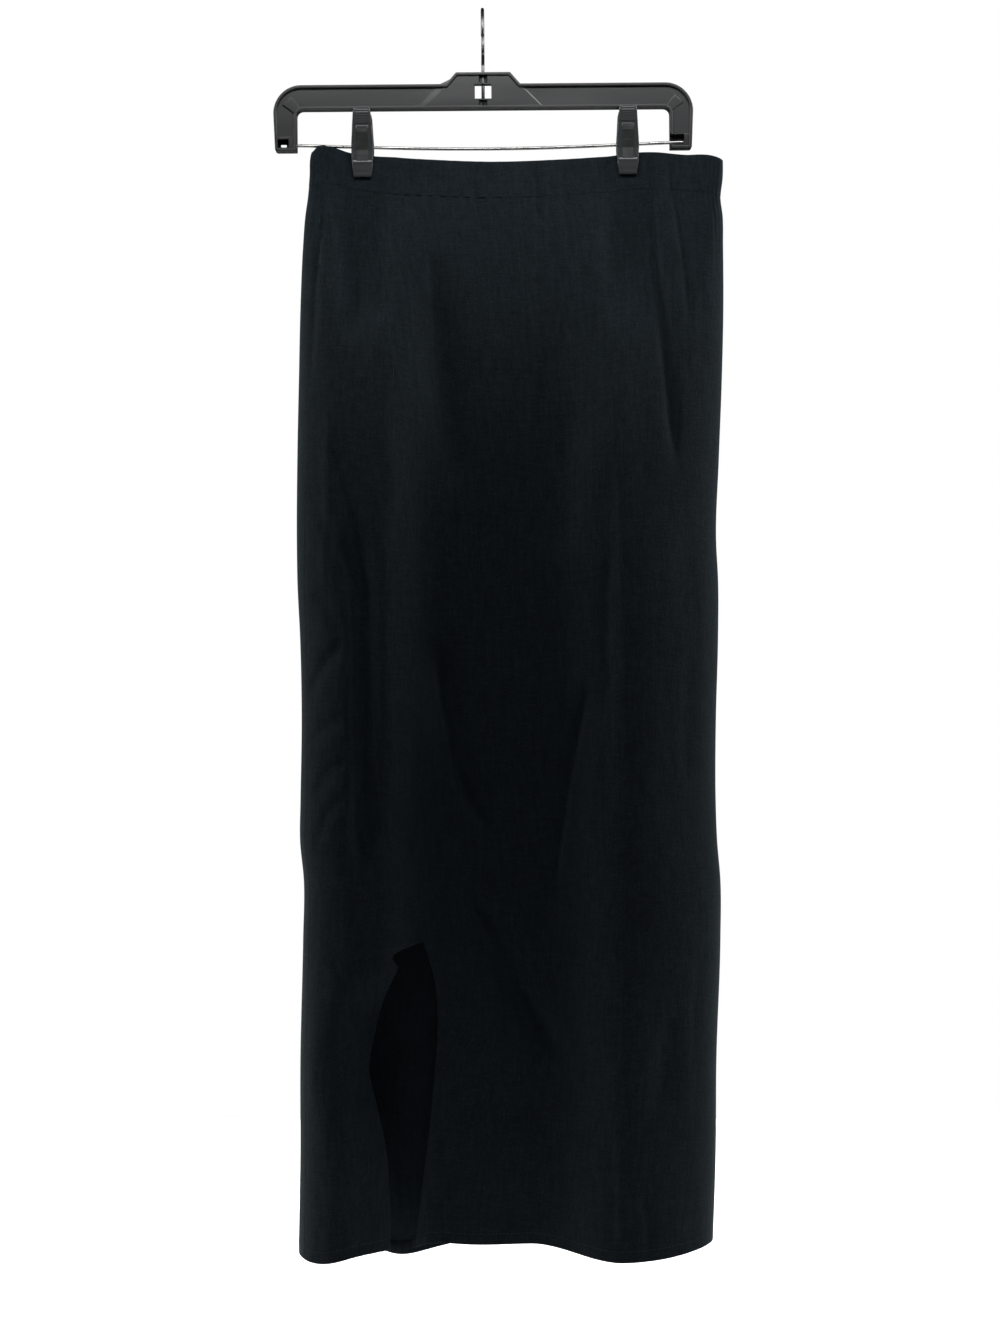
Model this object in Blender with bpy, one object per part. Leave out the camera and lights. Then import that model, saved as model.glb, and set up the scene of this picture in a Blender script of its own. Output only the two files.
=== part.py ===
"""A straight maxi skirt held at the waist by the two clips of a plastic hanger.

Lengths in the tables are millimetres. X runs to the viewer's right, the front faces -Y and Z is up.
The origin is the top of the hollow of the hook, where a rail bears.
"""

import math
from collections import namedtuple

import bmesh
import bpy
import numpy as np

MM = 0.001
GAP = 0.3
CUT_BEYOND = 1.0

# Cloth
PANEL_WALL = 1.2
BAND_WALL = 1.6
BAND_DEPTH = 30.0
BAND_SEAM_Z = -158.0
LAYER_HALF_GAP = 1.25
PANEL_COLUMNS = {"front_side_panel": 13, "front_main_panel": 34, "back_panel": 29}
PANEL_ROWS = (18, 7)
BAND_COLUMNS = 72
BAND_ROWS = (-1.0, -0.8, -0.4)

# Clips, as X on the hanger before it tilts
CLIP_X = {"left": -102.5, "right": 122.2}
CLIP_HOLD = 11.0
CLIP_EASE = 18.0
JAW_END_Z = -140.5
EASE_END_Z = -290.0

# Hanger
HANGER_TILT = math.radians(0.45)
FRAME_HALF_WIDTH = 177.8
FRAME_HALF_THICK = 4.5
BAR_TOP_Z = -61.7
BAR_BOTTOM_Z = -82.6
LEG_BOTTOM_Z = -117.7
LEG_WIDTH = 19.8
LEG_TAPER = 1.2
LEG_FOOT_RADIUS = 2.4
OUTER_RADIUS = 23.8
INNER_RADIUS = 5.5
BLOCK_TOP_Z = -51.9
BLOCK_TOP_HALF = 22.9
BLOCK_BASE_HALF = 31.5
RIM = 2.6
POCKET_DEPTH = 2.2
RAMP = 8.0
BLOCK_SPREAD = (2.0, 18.0)
FOOT_BLOCK_Z = -105.0
CORNER_X = (158.0, 148.0)
LEG_POCKET_TOP_Z = -88.0
LEFT_FOOT_POCKET = (-174.5, -165.0, -114.4, -107.0)
LEFT_FOOT_HOLE = (-172.0, -167.2, -112.8, -110.6)
FOOT_POCKET_FLOOR_Y = 2.2
RIGHT_ROD_SLOT = (157.0, 170.2, -113.6, -105.4)
WINDOW_HALF = 7.0
WINDOW_Z = (-74.0, -61.7)
SOCKET_RADIUS = 4.0
SOCKETS_Z = ((-80.0, -75.0), (-60.7, -54.0))

# Hook and rod
HOOK_WIRE = 2.8
HOOK_INNER_RADIUS = 18.0
HOOK_START = -42.0
HOOK_END = 205.0
HOOK_STEPS = 22
NECK_Z = -47.0
NECK_STEPS = 5
SHANK_BOTTOM_Z = -79.5
ROD_WIRE = 2.7

# One row for a level of the skirt: the outline at the viewer's left and right, the widths over
# which those sides round away, then how far the front and the back stand out from the middle
# plane near the left side, in the middle and near the right side.
Section = namedtuple(
    "Section",
    "z left right round_left round_right"
    " front_left front_mid front_right back_left back_mid back_right",
)
SECTIONS = [
    Section(-112, -141.5, 202.8, 3.4, 2.6, 3.7, 5.0, 2.4, 2.6, 6.5, 2.4),
    Section(-121, -144.8, 203.2, 3.4, 2.8, 3.7, 5.2, 2.5, 2.8, 6.8, 2.5),
    Section(-140, -146.0, 203.2, 3.4, 3.2, 3.2, 5.8, 2.8, 3.0, 7.6, 2.8),
    Section(-158, -147.6, 201.4, 5.0, 5.0, 4.0, 6.6, 4.0, 3.8, 8.6, 3.8),
    Section(-172, -149.6, 203.2, 8.0, 8.0, 5.8, 7.4, 5.8, 5.4, 9.6, 5.4),
    Section(-198, -151.6, 203.6, 14, 15, 9.5, 8.8, 9.2, 8.4, 11.5, 8.4),
    Section(-244, -153.6, 203.9, 24, 30, 17.0, 10.6, 16.4, 14.0, 14.5, 14.4),
    Section(-312, -155.1, 202.5, 34, 46, 26.0, 12.0, 25.5, 22.0, 17.0, 22.5),
    Section(-380, -156.4, 199.9, 40, 58, 33.0, 12.0, 32.5, 28.0, 18.5, 29.0),
    Section(-448, -156.8, 197.6, 44, 66, 38.0, 11.0, 38.0, 32.0, 19.0, 33.0),
    Section(-482, -156.3, 199.3, 45, 68, 40.0, 10.5, 40.0, 34.0, 19.0, 35.0),
    Section(-533, -153.9, 199.2, 46, 70, 42.0, 9.5, 42.5, 36.0, 19.0, 37.0),
    Section(-600, -152.6, 197.4, 46, 72, 44.0, 8.0, 45.0, 37.5, 18.5, 39.0),
    Section(-668, -153.6, 197.2, 46, 74, 45.5, 6.5, 47.0, 39.0, 18.0, 40.5),
    Section(-702, -154.0, 198.4, 46, 74, 46.0, 5.5, 48.0, 39.5, 18.0, 41.0),
    Section(-736, -150.8, 201.2, 46, 75, 46.5, 4.5, 48.5, 40.0, 18.0, 41.5),
    Section(-787, -151.4, 201.2, 46, 76, 47.0, 3.5, 49.0, 40.5, 17.5, 42.0),
    Section(-889, -153.7, 197.8, 46, 78, 48.0, 2.0, 50.0, 41.0, 17.0, 43.0),
    Section(-970, -153.8, 197.2, 46, 80, 48.0, 1.0, 51.0, 42.0, 17.0, 44.0),
    Section(-1043, -155.0, 194.8, 46, 80, 48.0, 0.0, 52.0, 42.0, 17.0, 44.0),
]

# Where the front and the back turn from the side folds to the middle, as shares of the half width.
FRONT_FLANKS = ((-0.64, -0.30), (0.12, 0.56))
BACK_FLANKS = ((-0.66, -0.28), (0.20, 0.62))

Point = namedtuple("Point", "x z")

# The top edge of the waist, slack between the clips. In front its left corner stands up before
# the rod, which passes over the side fold.
WAIST_FRONT_LINE = [
    Point(-146, -120),
    Point(-139, -112),
    Point(-129, -114),
    Point(-112, -119),
    Point(-90, -123.5),
    Point(-36, -127.5),
    Point(5, -128.8),
    Point(57, -127.2),
    Point(100, -124),
    Point(134, -119.8),
    Point(168, -122.2),
    Point(197, -124.3),
    Point(204, -127.5),
]

WAIST_BACK_LINE = [
    Point(-146, -120),
    Point(-129, -119.5),
    Point(-112, -121.5),
    Point(-90, -124.5),
    Point(-36, -128.5),
    Point(5, -130),
    Point(57, -128.5),
    Point(100, -125),
    Point(134, -121),
    Point(168, -122.6),
    Point(197, -124.3),
    Point(204, -127.5),
]

BAND_SEAM_LINE = [
    Point(-148, -147.5),
    Point(-129, -146.5),
    Point(-112, -149.5),
    Point(-90, -153.5),
    Point(-36, -157.5),
    Point(5, -158.8),
    Point(57, -157.2),
    Point(100, -154),
    Point(134, -150),
    Point(168, -151.5),
    Point(204, -156),
]

HEM_LINE = [
    Point(-155, -1050),
    Point(-132, -1051),
    Point(-100, -1045),
    Point(-50, -1043),
    Point(0, -1044),
    Point(60, -1042),
    Point(112, -1045),
    Point(150, -1045),
    Point(196, -1040),
]

# The long front seam down to the slit, then the two edges of the slit.
SLIT_TOP_Z = -787.0
SLIT_SEAM = [
    Point(-94.6, -158),
    Point(-89.5, -193),
    Point(-78.5, -267),
    Point(-71.7, -335),
    Point(-65.8, -420),
    Point(-59.8, -527),
    Point(-56.5, -612),
    Point(-52.0, -686),
    Point(-50.0, -787),
]
SLIT_LEFT_EDGE = [
    Point(-50.3, -787),
    Point(-63.0, -790),
    Point(-70.5, -808),
    Point(-79.0, -825),
    Point(-89.0, -859),
    Point(-94.0, -892),
    Point(-88.0, -920),
    Point(-80.5, -958),
    Point(-77.5, -1000),
    Point(-77.0, -1052),
]
SLIT_RIGHT_EDGE = [
    Point(-50.0, -787),
    Point(-45.5, -800),
    Point(-43.5, -930),
    Point(-48.5, -975),
    Point(-58.0, -1048),
]
SLIT_ANGLE = math.radians(-24.0)
SLIT_OPENING_ROWS = (0.0, 0.0035, 0.02, 0.042, 0.08)
FLAP_CURL = 9.0
FLAP_CURL_WIDTH = 26.0
FLAP_CURL_LENGTH = 60.0

# The side seams, as angles round the skirt from the middle of the front.
LEFT_SEAM_ANGLES = (-67.0, -74.0)
RIGHT_SEAM_ANGLES = (106.0, 103.0)

# One row for each large fold. A trough is pressed in by depth, and a ridge has a negative one.
Fold = namedtuple("Fold", "side width depth route")
FOLDS = [
    Fold("front", 9, 5.5, [(144, -155), (148, -202), (155, -267), (161, -363), (164, -415)]),
    Fold("front", 10, 3.5, [(-117, -150), (-111, -200), (-109, -245), (-112, -290)]),
    Fold("front", 13, 8.0, [(-121, -388), (-109, -465), (-102, -533), (-98, -640), (-99, -755)]),
    Fold("front", 12, 4.0, [(-45, -230), (-38, -300), (-28, -372), (-30, -420)]),
    Fold("front", 12, 4.0, [(75, -330), (70, -400), (66, -470)]),
    Fold("front", 9, 7.0, [(-39, -540), (-34, -590), (-25, -635), (-10, -670), (14, -712)]),
    Fold("front", 8, 6.5, [(92, -556), (79, -618), (70, -668), (63, -720), (61, -765)]),
    Fold("front", 11, 5.5, [(-15, -735), (8, -780), (28, -826), (46, -858), (68, -895)]),
    Fold("front", 13, 4.5, [(158, -838), (152, -880), (146, -935)]),
    Fold("front", 10, 5.0, [(112, -365), (113, -470), (112, -600), (110, -720)]),
    Fold("back", 10, 6.0, [(-80, -158), (-84, -240), (-92, -340), (-95, -430)]),
    Fold("back", 10, 5.0, [(140, -158), (146, -230), (158, -330), (162, -400)]),
    Fold("back", 14, 6.0, [(10, -300), (4, -420), (-8, -560), (-14, -700)]),
    Fold("back", 12, 8.0, [(-100, -480), (-90, -580), (-62, -690), (-30, -760)]),
    Fold("back", 12, 8.0, [(138, -500), (122, -600), (92, -700), (62, -770)]),
    Fold("back", 14, 6.0, [(22, -800), (34, -880), (40, -960), (38, -1040)]),
]
FOLD_FADE = 0.22

# One row for a level of a clip's jaw: half its width, then the distance of its outer and inner
# faces from the middle plane.
JawRow = namedtuple("JawRow", "z half_width outer inner")
JAW_ROWS = [
    JawRow(-83.8, 6.7, 12.4, 10.4),
    JawRow(-88.0, 7.6, 12.2, 9.8),
    JawRow(-96.0, 8.2, 10.6, 8.0),
    JawRow(-104.0, 8.7, 8.9, 6.2),
    JawRow(-110.5, 9.2, 7.6, 4.6),
    JawRow(-112.6, 9.3, 7.2, 1.75),
    JawRow(-116.4, 9.4, 6.6, 1.75),
    JawRow(-118.4, 9.4, 6.3, 3.6),
    JawRow(-131.0, 8.8, 5.6, 3.2),
    JawRow(-134.0, 8.4, 5.4, 2.45),
    JawRow(JAW_END_Z, 7.3, 4.7, 2.45),
]
JAW_RIB = 1.7
JAW_RECESS = 1.0
FULCRUM_Z = -114.5
SLOT_Z = (-97.2, -100.8)
SLOT_HALF = 5.2
SPRING_HALF = 4.6
SPRING_THICK = 0.6
SPRING_LEAF_Z = (-127.0, -118.4, -110.5, -103.5)
SPRING_SHOULDER_Z = -99.8
SPRING_SHOULDER_IN = 0.4
SPRING_BRIDGE_Z = -98.8
SPRING_BRIDGE_IN = 1.6

# The rod's route on the hanger before it tilts, a little slack between the clips.
ROD_ROUTE = [
    Point(-164.0, -112.0),
    Point(-154.9, -112.2),
    Point(-102.6, -113.9),
    Point(-60.0, -115.2),
    Point(-10.0, -115.9),
    Point(45.0, -115.6),
    Point(90.0, -114.4),
    Point(121.6, -113.3),
    Point(150.0, -112.2),
    Point(169.5, -111.6),
]


def clear_scene():
    for obj in list(bpy.data.objects):
        bpy.data.objects.remove(obj)


def material(name, colour, roughness, metallic):
    made = bpy.data.materials.new(name)
    made.use_nodes = True
    shader = made.node_tree.nodes["Principled BSDF"]
    shader.inputs["Base Color"].default_value = (*colour, 1.0)
    shader.inputs["Roughness"].default_value = roughness
    shader.inputs["Metallic"].default_value = metallic
    return made


def place(name, mesh, finish, parent, sharp_angle=40):
    mesh.materials.append(finish)
    mesh.shade_smooth()
    mesh.set_sharp_from_angle(angle=math.radians(sharp_angle))
    obj = bpy.data.objects.new(name, mesh)
    bpy.context.collection.objects.link(obj)
    obj.parent = parent
    return obj


def mesh_from(bm, name):
    bmesh.ops.recalc_face_normals(bm, faces=bm.faces)
    mesh = bpy.data.meshes.new(name)
    bm.to_mesh(mesh)
    bm.free()
    return mesh


def smoothstep(t):
    t = np.clip(t, 0.0, 1.0)
    return t * t * (3.0 - 2.0 * t)


def eased(at, knots, values):
    """A smooth curve through the values, with the slopes of a cardinal spline."""
    knots = np.asarray(knots, float)
    values = np.asarray(values, float)
    slopes = np.gradient(values, knots)
    at = np.clip(at, knots[0], knots[-1])
    i = np.clip(np.searchsorted(knots, at) - 1, 0, len(knots) - 2)
    step = knots[i + 1] - knots[i]
    t = (at - knots[i]) / step
    return (
        values[i] * (1 + 2 * t) * (1 - t) ** 2
        + slopes[i] * step * t * (1 - t) ** 2
        + values[i + 1] * t * t * (3 - 2 * t)
        + slopes[i + 1] * step * t * t * (t - 1)
    )


def level(z, column):
    """A column of the section table at any height."""
    rows = SECTIONS[::-1]
    return eased(z, [row.z for row in rows], [getattr(row, column) for row in rows])


def line_z(line, x):
    return eased(x, [p.x for p in line], [p.z for p in line])


def edge_x(line, z):
    rows = line[::-1]
    return eased(z, [p.z for p in rows], [p.x for p in rows])


def stand_out(share, z, side, flanks):
    """How far a side stands out at a share of the half width, before its ends turn in."""
    (left_out, left_in), (right_in, right_out) = flanks
    to_left = smoothstep((left_in - share) / (left_in - left_out))
    to_right = smoothstep((share - right_in) / (right_out - right_in))
    left, mid, right = (level(z, f"{side}_{part}") for part in ("left", "mid", "right"))
    return mid + (left - mid) * to_left + (right - mid) * to_right


def held_flat(x, z):
    """1 where a clip presses the layers together, easing to 0 away from it."""
    hold = 0.0
    for clip_x in CLIP_X.values():
        hung_x = clip_x - JAW_END_Z * math.sin(HANGER_TILT)
        beside = 1.0 - smoothstep((np.abs(x - hung_x) - CLIP_HOLD) / CLIP_EASE)
        hold = np.maximum(hold, beside)
    return hold * smoothstep((z - EASE_END_Z) / (JAW_END_Z - EASE_END_Z))


def fold_depth(x, z, fold):
    """How far one fold presses the cloth in: deepest on its route and gone at both ends."""
    route = np.asarray(fold.route, float)
    steps = np.diff(route, axis=0)
    lengths = np.hypot(*steps.T)
    starts = np.concatenate([[0.0], np.cumsum(lengths)[:-1]]) / lengths.sum()
    nearest = np.full(np.shape(x), np.inf)
    along = np.zeros(np.shape(x))
    for start, step, length, begins in zip(route, steps, lengths, starts):
        t = ((x - start[0]) * step[0] + (z - start[1]) * step[1]) / length**2
        t = np.clip(t, 0.0, 1.0)
        away = np.hypot(x - start[0] - t * step[0], z - start[1] - t * step[1])
        closer = away < nearest
        nearest = np.where(closer, away, nearest)
        along = np.where(closer, begins + t * length / lengths.sum(), along)
    fade = smoothstep(along / FOLD_FADE) * smoothstep((1.0 - along) / FOLD_FADE)
    return fold.depth * fade * np.exp(-((nearest / fold.width) ** 2))


def skirt_surface(angle, down):
    """The middle of the cloth at an angle round the skirt and a share of the way down the panels.

    Shares below 0 run up the waistband, to -1 at its top edge.
    """
    share = np.sin(angle)
    facing = np.cos(angle)
    left, right = level(BAND_SEAM_Z, "left"), level(BAND_SEAM_Z, "right")
    rough_x = (left + right) / 2 + (right - left) / 2 * share
    band_top = np.where(
        facing > 0, line_z(WAIST_FRONT_LINE, rough_x), line_z(WAIST_BACK_LINE, rough_x)
    )
    panel_top = line_z(BAND_SEAM_LINE, rough_x)
    hem = line_z(HEM_LINE, rough_x)
    z = np.where(
        down < 0,
        panel_top - down * (band_top - panel_top),
        panel_top + down * (hem - panel_top),
    )
    left, right = level(z, "left"), level(z, "right")
    half = (right - left) / 2
    x = (left + right) / 2 + half * share
    rounding = np.where(share < 0, level(z, "round_left"), level(z, "round_right"))
    inside = np.clip(half * (1.0 - np.abs(share)) / rounding, 0.0, 1.0)
    turn_in = np.sqrt(1.0 - (1.0 - inside) ** 2)
    front = stand_out(share, z, "front", FRONT_FLANKS)
    back = stand_out(share, z, "back", BACK_FLANKS)
    hold = held_flat(x, z)
    depth = np.where(facing > 0, front, back)
    for fold in FOLDS:
        on_side = facing > 0 if fold.side == "front" else facing <= 0
        depth = depth - np.where(on_side, fold_depth(x, z, fold) * (1.0 - hold), 0.0)
    depth = LAYER_HALF_GAP + (depth - LAYER_HALF_GAP) * (1.0 - hold)
    y = np.where(facing > 0, -1.0, 1.0) * depth * turn_in
    return np.stack([x, y, z], axis=-1)


def angle_at(x, z):
    """The angle round the front at which the skirt passes a given x."""
    left, right = level(z, "left"), level(z, "right")
    return np.arcsin(np.clip((x - (left + right) / 2) / ((right - left) / 2), -1.0, 1.0))


def walls(surface, angles, downs, thickness):
    """The outer and inner faces of a cloth wall, half its thickness either side of its middle."""
    step = 1e-3
    across = surface(angles + step, downs) - surface(angles - step, downs)
    along = surface(angles, downs + step) - surface(angles, downs - step)
    inward = np.cross(across, along)
    inward /= np.linalg.norm(inward, axis=-1, keepdims=True)
    middle = surface(angles, downs)
    return middle - inward * thickness / 2, middle + inward * thickness / 2


def add_wall(bm, outer, inner, ring=False):
    """Closes two grids of points, in millimetres, into one wall."""
    rows, columns = outer.shape[:2]
    grids = [
        [[bm.verts.new(point * MM) for point in row] for row in grid] for grid in (outer, inner)
    ]
    last = columns if ring else columns - 1
    for grid in grids:
        for i in range(rows - 1):
            for j in range(last):
                k = (j + 1) % columns
                bm.faces.new((grid[i][j], grid[i][k], grid[i + 1][k], grid[i + 1][j]))
    for i in (0, rows - 1):
        for j in range(last):
            k = (j + 1) % columns
            bm.faces.new((grids[0][i][j], grids[0][i][k], grids[1][i][k], grids[1][i][j]))
    if not ring:
        for j in (0, columns - 1):
            for i in range(rows - 1):
                bm.faces.new(
                    (grids[0][i][j], grids[0][i + 1][j], grids[1][i + 1][j], grids[1][i][j])
                )


def slit_share():
    """How far down the panels the slit begins."""
    top, hem = skirt_surface(np.full(2, SLIT_ANGLE), np.array([0.0, 1.0]))[:, 2]
    return (top - SLIT_TOP_Z) / (top - hem)


def panel_rows(upper, lower):
    """Shares down a panel, with close rows where the slit opens."""
    slit = slit_share()
    return np.concatenate(
        [
            np.linspace(0.0, slit, upper, endpoint=False),
            slit + np.array(SLIT_OPENING_ROWS),
            np.linspace(slit + SLIT_OPENING_ROWS[-1], 1.0, lower + 1)[1:],
        ]
    )


def side_seam(ends, downs):
    return np.radians(ends[0] + (ends[1] - ends[0]) * smoothstep(downs * 2.0))


def slit_edge(edge, downs):
    """The angle of the long seam above the slit, and of one of its edges below."""
    z = skirt_surface(np.full(downs.shape, SLIT_ANGLE), downs)[:, 2]
    x = np.where(z > SLIT_TOP_Z, edge_x(SLIT_SEAM, z), edge_x(edge, z))
    return angle_at(x, z)


def moved(angles, downs, distance):
    """Angles moved along the cloth by a distance, to leave the gap at a seam."""
    step = 1e-3
    across = skirt_surface(angles + step, downs) - skirt_surface(angles - step, downs)
    return angles + distance * 2 * step / np.linalg.norm(across, axis=-1)


def curled_flap(angle, down):
    """The narrow front panel, whose free edge at the slit rolls back under the skirt."""
    points = skirt_surface(angle, down)
    x, z = points[..., 0], points[..., 2]
    from_edge = np.where(z < SLIT_TOP_Z, edge_x(SLIT_LEFT_EDGE, z) - x, FLAP_CURL_WIDTH)
    near = 1.0 - np.clip(from_edge / FLAP_CURL_WIDTH, 0.0, 1.0)
    opened = smoothstep((SLIT_TOP_Z - z) / FLAP_CURL_LENGTH)
    points[..., 1] += FLAP_CURL * near**2 * opened
    return points


def build_panel(name, surface, edges, downs, finish, parent):
    """A panel from one edge round to the other, with half a seam gap left at each."""
    columns = PANEL_COLUMNS[name]
    start = moved(edges[0], downs, GAP / 2)
    end = moved(edges[1], downs, -GAP / 2)
    shares = np.linspace(0.0, 1.0, columns)
    angles = start[:, None] + (end - start)[:, None] * shares
    outer, inner = walls(surface, angles, np.repeat(downs[:, None], columns, 1), PANEL_WALL)
    bm = bmesh.new()
    add_wall(bm, outer, inner)
    return place(name, mesh_from(bm, name), finish, parent)


def build_skirt(finish, parent):
    downs = panel_rows(*PANEL_ROWS)
    left = side_seam(LEFT_SEAM_ANGLES, downs)
    right = side_seam(RIGHT_SEAM_ANGLES, downs)
    slit_left = slit_edge(SLIT_LEFT_EDGE, downs)
    slit_right = slit_edge(SLIT_RIGHT_EDGE, downs)
    back = (right, left + 2 * math.pi)
    build_panel("front_side_panel", curled_flap, (left, slit_left), downs, finish, parent)
    build_panel("front_main_panel", skirt_surface, (slit_right, right), downs, finish, parent)
    build_panel("back_panel", skirt_surface, back, downs, finish, parent)


def build_waistband(finish, parent):
    """One closed ring, a seam gap above the panels."""
    around = np.linspace(0.0, 2 * math.pi, BAND_COLUMNS, endpoint=False)
    downs = np.array([*BAND_ROWS, -GAP / BAND_DEPTH])
    angles, downs = np.meshgrid(around, downs)
    outer, inner = walls(skirt_surface, angles, downs, BAND_WALL)
    bm = bmesh.new()
    add_wall(bm, outer, inner, ring=True)
    return place("waistband", mesh_from(bm, "waistband"), finish, parent)


def add_loft(bm, rings):
    """A closed solid through rings of points, in millimetres, each with the same count."""
    loops = [[bm.verts.new([c * MM for c in point]) for point in ring] for ring in rings]
    count = len(loops[0])
    for near, far in zip(loops, loops[1:]):
        for i in range(count):
            j = (i + 1) % count
            bm.faces.new((near[i], near[j], far[j], far[i]))
    bm.faces.new(loops[0][::-1])
    bm.faces.new(loops[-1])


def add_prism(bm, outline, near_y, far_y, floor=None):
    """An outline of (x, z) carried from one y to another, or narrowed to a floor outline."""
    add_loft(
        bm,
        [
            [(x, near_y, z) for x, z in outline],
            [(x, far_y, z) for x, z in floor or outline],
        ],
    )


def box_outline(x0, x1, z0, z1):
    return [(x0, z0), (x1, z0), (x1, z1), (x0, z1)]


def arc(centre, radius, start, end, steps):
    """Points on an arc, with angles in degrees from +X towards +Z."""
    angles = [math.radians(start + (end - start) * i / steps) for i in range(steps + 1)]
    return [(centre[0] + radius * math.cos(a), centre[1] + radius * math.sin(a)) for a in angles]


def cutter(bm, name, parent):
    obj = bpy.data.objects.new(name, mesh_from(bm, name))
    bpy.context.collection.objects.link(obj)
    obj.parent = parent
    obj.hide_render = True
    obj.display_type = "WIRE"
    return obj


def cut(obj, tool):
    boolean = obj.modifiers.new("cut", "BOOLEAN")
    boolean.object = tool
    boolean.solver = "EXACT"


def frame_outline():
    inner_x = FRAME_HALF_WIDTH - LEG_WIDTH
    foot_x = FRAME_HALF_WIDTH - LEG_TAPER
    shoulder = (FRAME_HALF_WIDTH - OUTER_RADIUS, BAR_TOP_Z - OUTER_RADIUS)
    toe = (foot_x - LEG_FOOT_RADIUS, LEG_BOTTOM_Z + LEG_FOOT_RADIUS)
    hollow = (inner_x - INNER_RADIUS, BAR_BOTTOM_Z - INNER_RADIUS)
    right = [
        (BLOCK_TOP_HALF, BLOCK_TOP_Z),
        (BLOCK_BASE_HALF, BAR_TOP_Z),
        *arc(shoulder, OUTER_RADIUS, 90, 0, 8),
        *arc(toe, LEG_FOOT_RADIUS, 0, -90, 3),
        (inner_x, LEG_BOTTOM_Z),
        *arc(hollow, INNER_RADIUS, 0, 90, 5),
    ]
    return right + [(-x, z) for x, z in reversed(right)]


def arm_pocket(side, corner_x):
    """A recess along one arm, whose floor ramps up beside the centre block."""
    top, bottom = BAR_TOP_Z - RIM, BAR_BOTTOM_Z + RIM
    surface = [
        (side * (BLOCK_BASE_HALF + BLOCK_SPREAD[0]), top),
        (side * corner_x[0], top),
        (side * corner_x[1], bottom),
        (side * (BLOCK_BASE_HALF + BLOCK_SPREAD[1]), bottom),
    ]
    floor = [(x + (side * RAMP if i in (0, 3) else 0.0), z) for i, (x, z) in enumerate(surface)]
    return surface, floor


def build_frame(finish, parent):
    bm = bmesh.new()
    add_prism(bm, frame_outline(), -FRAME_HALF_THICK, FRAME_HALF_THICK)
    frame = place("hanger_frame", mesh_from(bm, "hanger_frame"), finish, parent)

    tools = bmesh.new()
    proud = FRAME_HALF_THICK + CUT_BEYOND
    floor_y = FRAME_HALF_THICK - POCKET_DEPTH
    outer, inner = FRAME_HALF_WIDTH - RIM, FRAME_HALF_WIDTH - LEG_WIDTH + RIM
    shoulder = OUTER_RADIUS - RIM
    corner = (outer - shoulder, BAR_TOP_Z - RIM - shoulder)
    for side in (-1, 1):
        surface, floor = arm_pocket(side, CORNER_X)
        leg = [
            *arc(corner, shoulder, 36, 0, 4),
            (outer - LEG_TAPER, FOOT_BLOCK_Z),
            (inner, FOOT_BLOCK_Z),
            (inner, LEG_POCKET_TOP_Z),
        ]
        leg = [(side * x, z) for x, z in leg]
        for face in (-1, 1):
            add_prism(tools, surface, face * proud, face * floor_y, floor)
            add_prism(tools, leg, face * proud, face * floor_y)
    add_prism(tools, box_outline(*LEFT_FOOT_POCKET), -proud, FOOT_POCKET_FLOOR_Y)
    add_prism(tools, box_outline(*LEFT_FOOT_HOLE), -FOOT_POCKET_FLOOR_Y, proud)
    add_prism(tools, box_outline(*RIGHT_ROD_SLOT), -proud, ROD_WIRE / 2 + GAP)
    pockets = cutter(tools, "frame_pockets", parent)
    cut(frame, pockets)

    holes = bmesh.new()
    add_prism(holes, box_outline(-WINDOW_HALF, WINDOW_HALF, *WINDOW_Z), -proud, proud)
    bore = arc((0.0, 0.0), HOOK_WIRE / 2 + GAP, 0, 330, 11)
    below = (SHANK_BOTTOM_Z - GAP, WINDOW_Z[0] + CUT_BEYOND)
    above = (WINDOW_Z[1] - CUT_BEYOND, BLOCK_TOP_Z + CUT_BEYOND)
    for ends in (below, above):
        add_loft(holes, [[(x, y, z) for x, y in bore] for z in ends])
    cut(frame, cutter(holes, "shank_window_and_bore", parent))

    sockets = bmesh.new()
    groove = arc((0.0, -FRAME_HALF_THICK), SOCKET_RADIUS, 0, 330, 11)
    for low, high in SOCKETS_Z:
        add_loft(sockets, [[(x, y, z) for x, y in groove] for z in (low, high)])
    cut(frame, cutter(sockets, "shank_sockets", parent))

    rod_hole = bmesh.new()
    ring = arc((0.0, ROD_ROUTE[0].z), ROD_WIRE / 2 + GAP, 0, 330, 11)
    start, end = ROD_ROUTE[0].x - GAP, -FRAME_HALF_WIDTH + LEG_WIDTH + CUT_BEYOND
    add_loft(rod_hole, [[(x, y, z) for y, z in ring] for x in (start, end)])
    cut(frame, cutter(rod_hole, "rod_hole", parent))
    return frame


def wire(name, points, diameter, finish, parent, resolution=3):
    """A round wire through points, in millimetres."""
    curve = bpy.data.curves.new(name, "CURVE")
    curve.dimensions = "3D"
    curve.bevel_depth = diameter / 2 * MM
    curve.bevel_resolution = resolution
    curve.use_fill_caps = True
    spline = curve.splines.new("POLY")
    spline.points.add(len(points) - 1)
    for vertex, point in zip(spline.points, points):
        vertex.co = (*[c * MM for c in point], 1.0)
    curve.materials.append(finish)
    obj = bpy.data.objects.new(name, curve)
    bpy.context.collection.objects.link(obj)
    obj.parent = parent
    return obj


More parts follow.
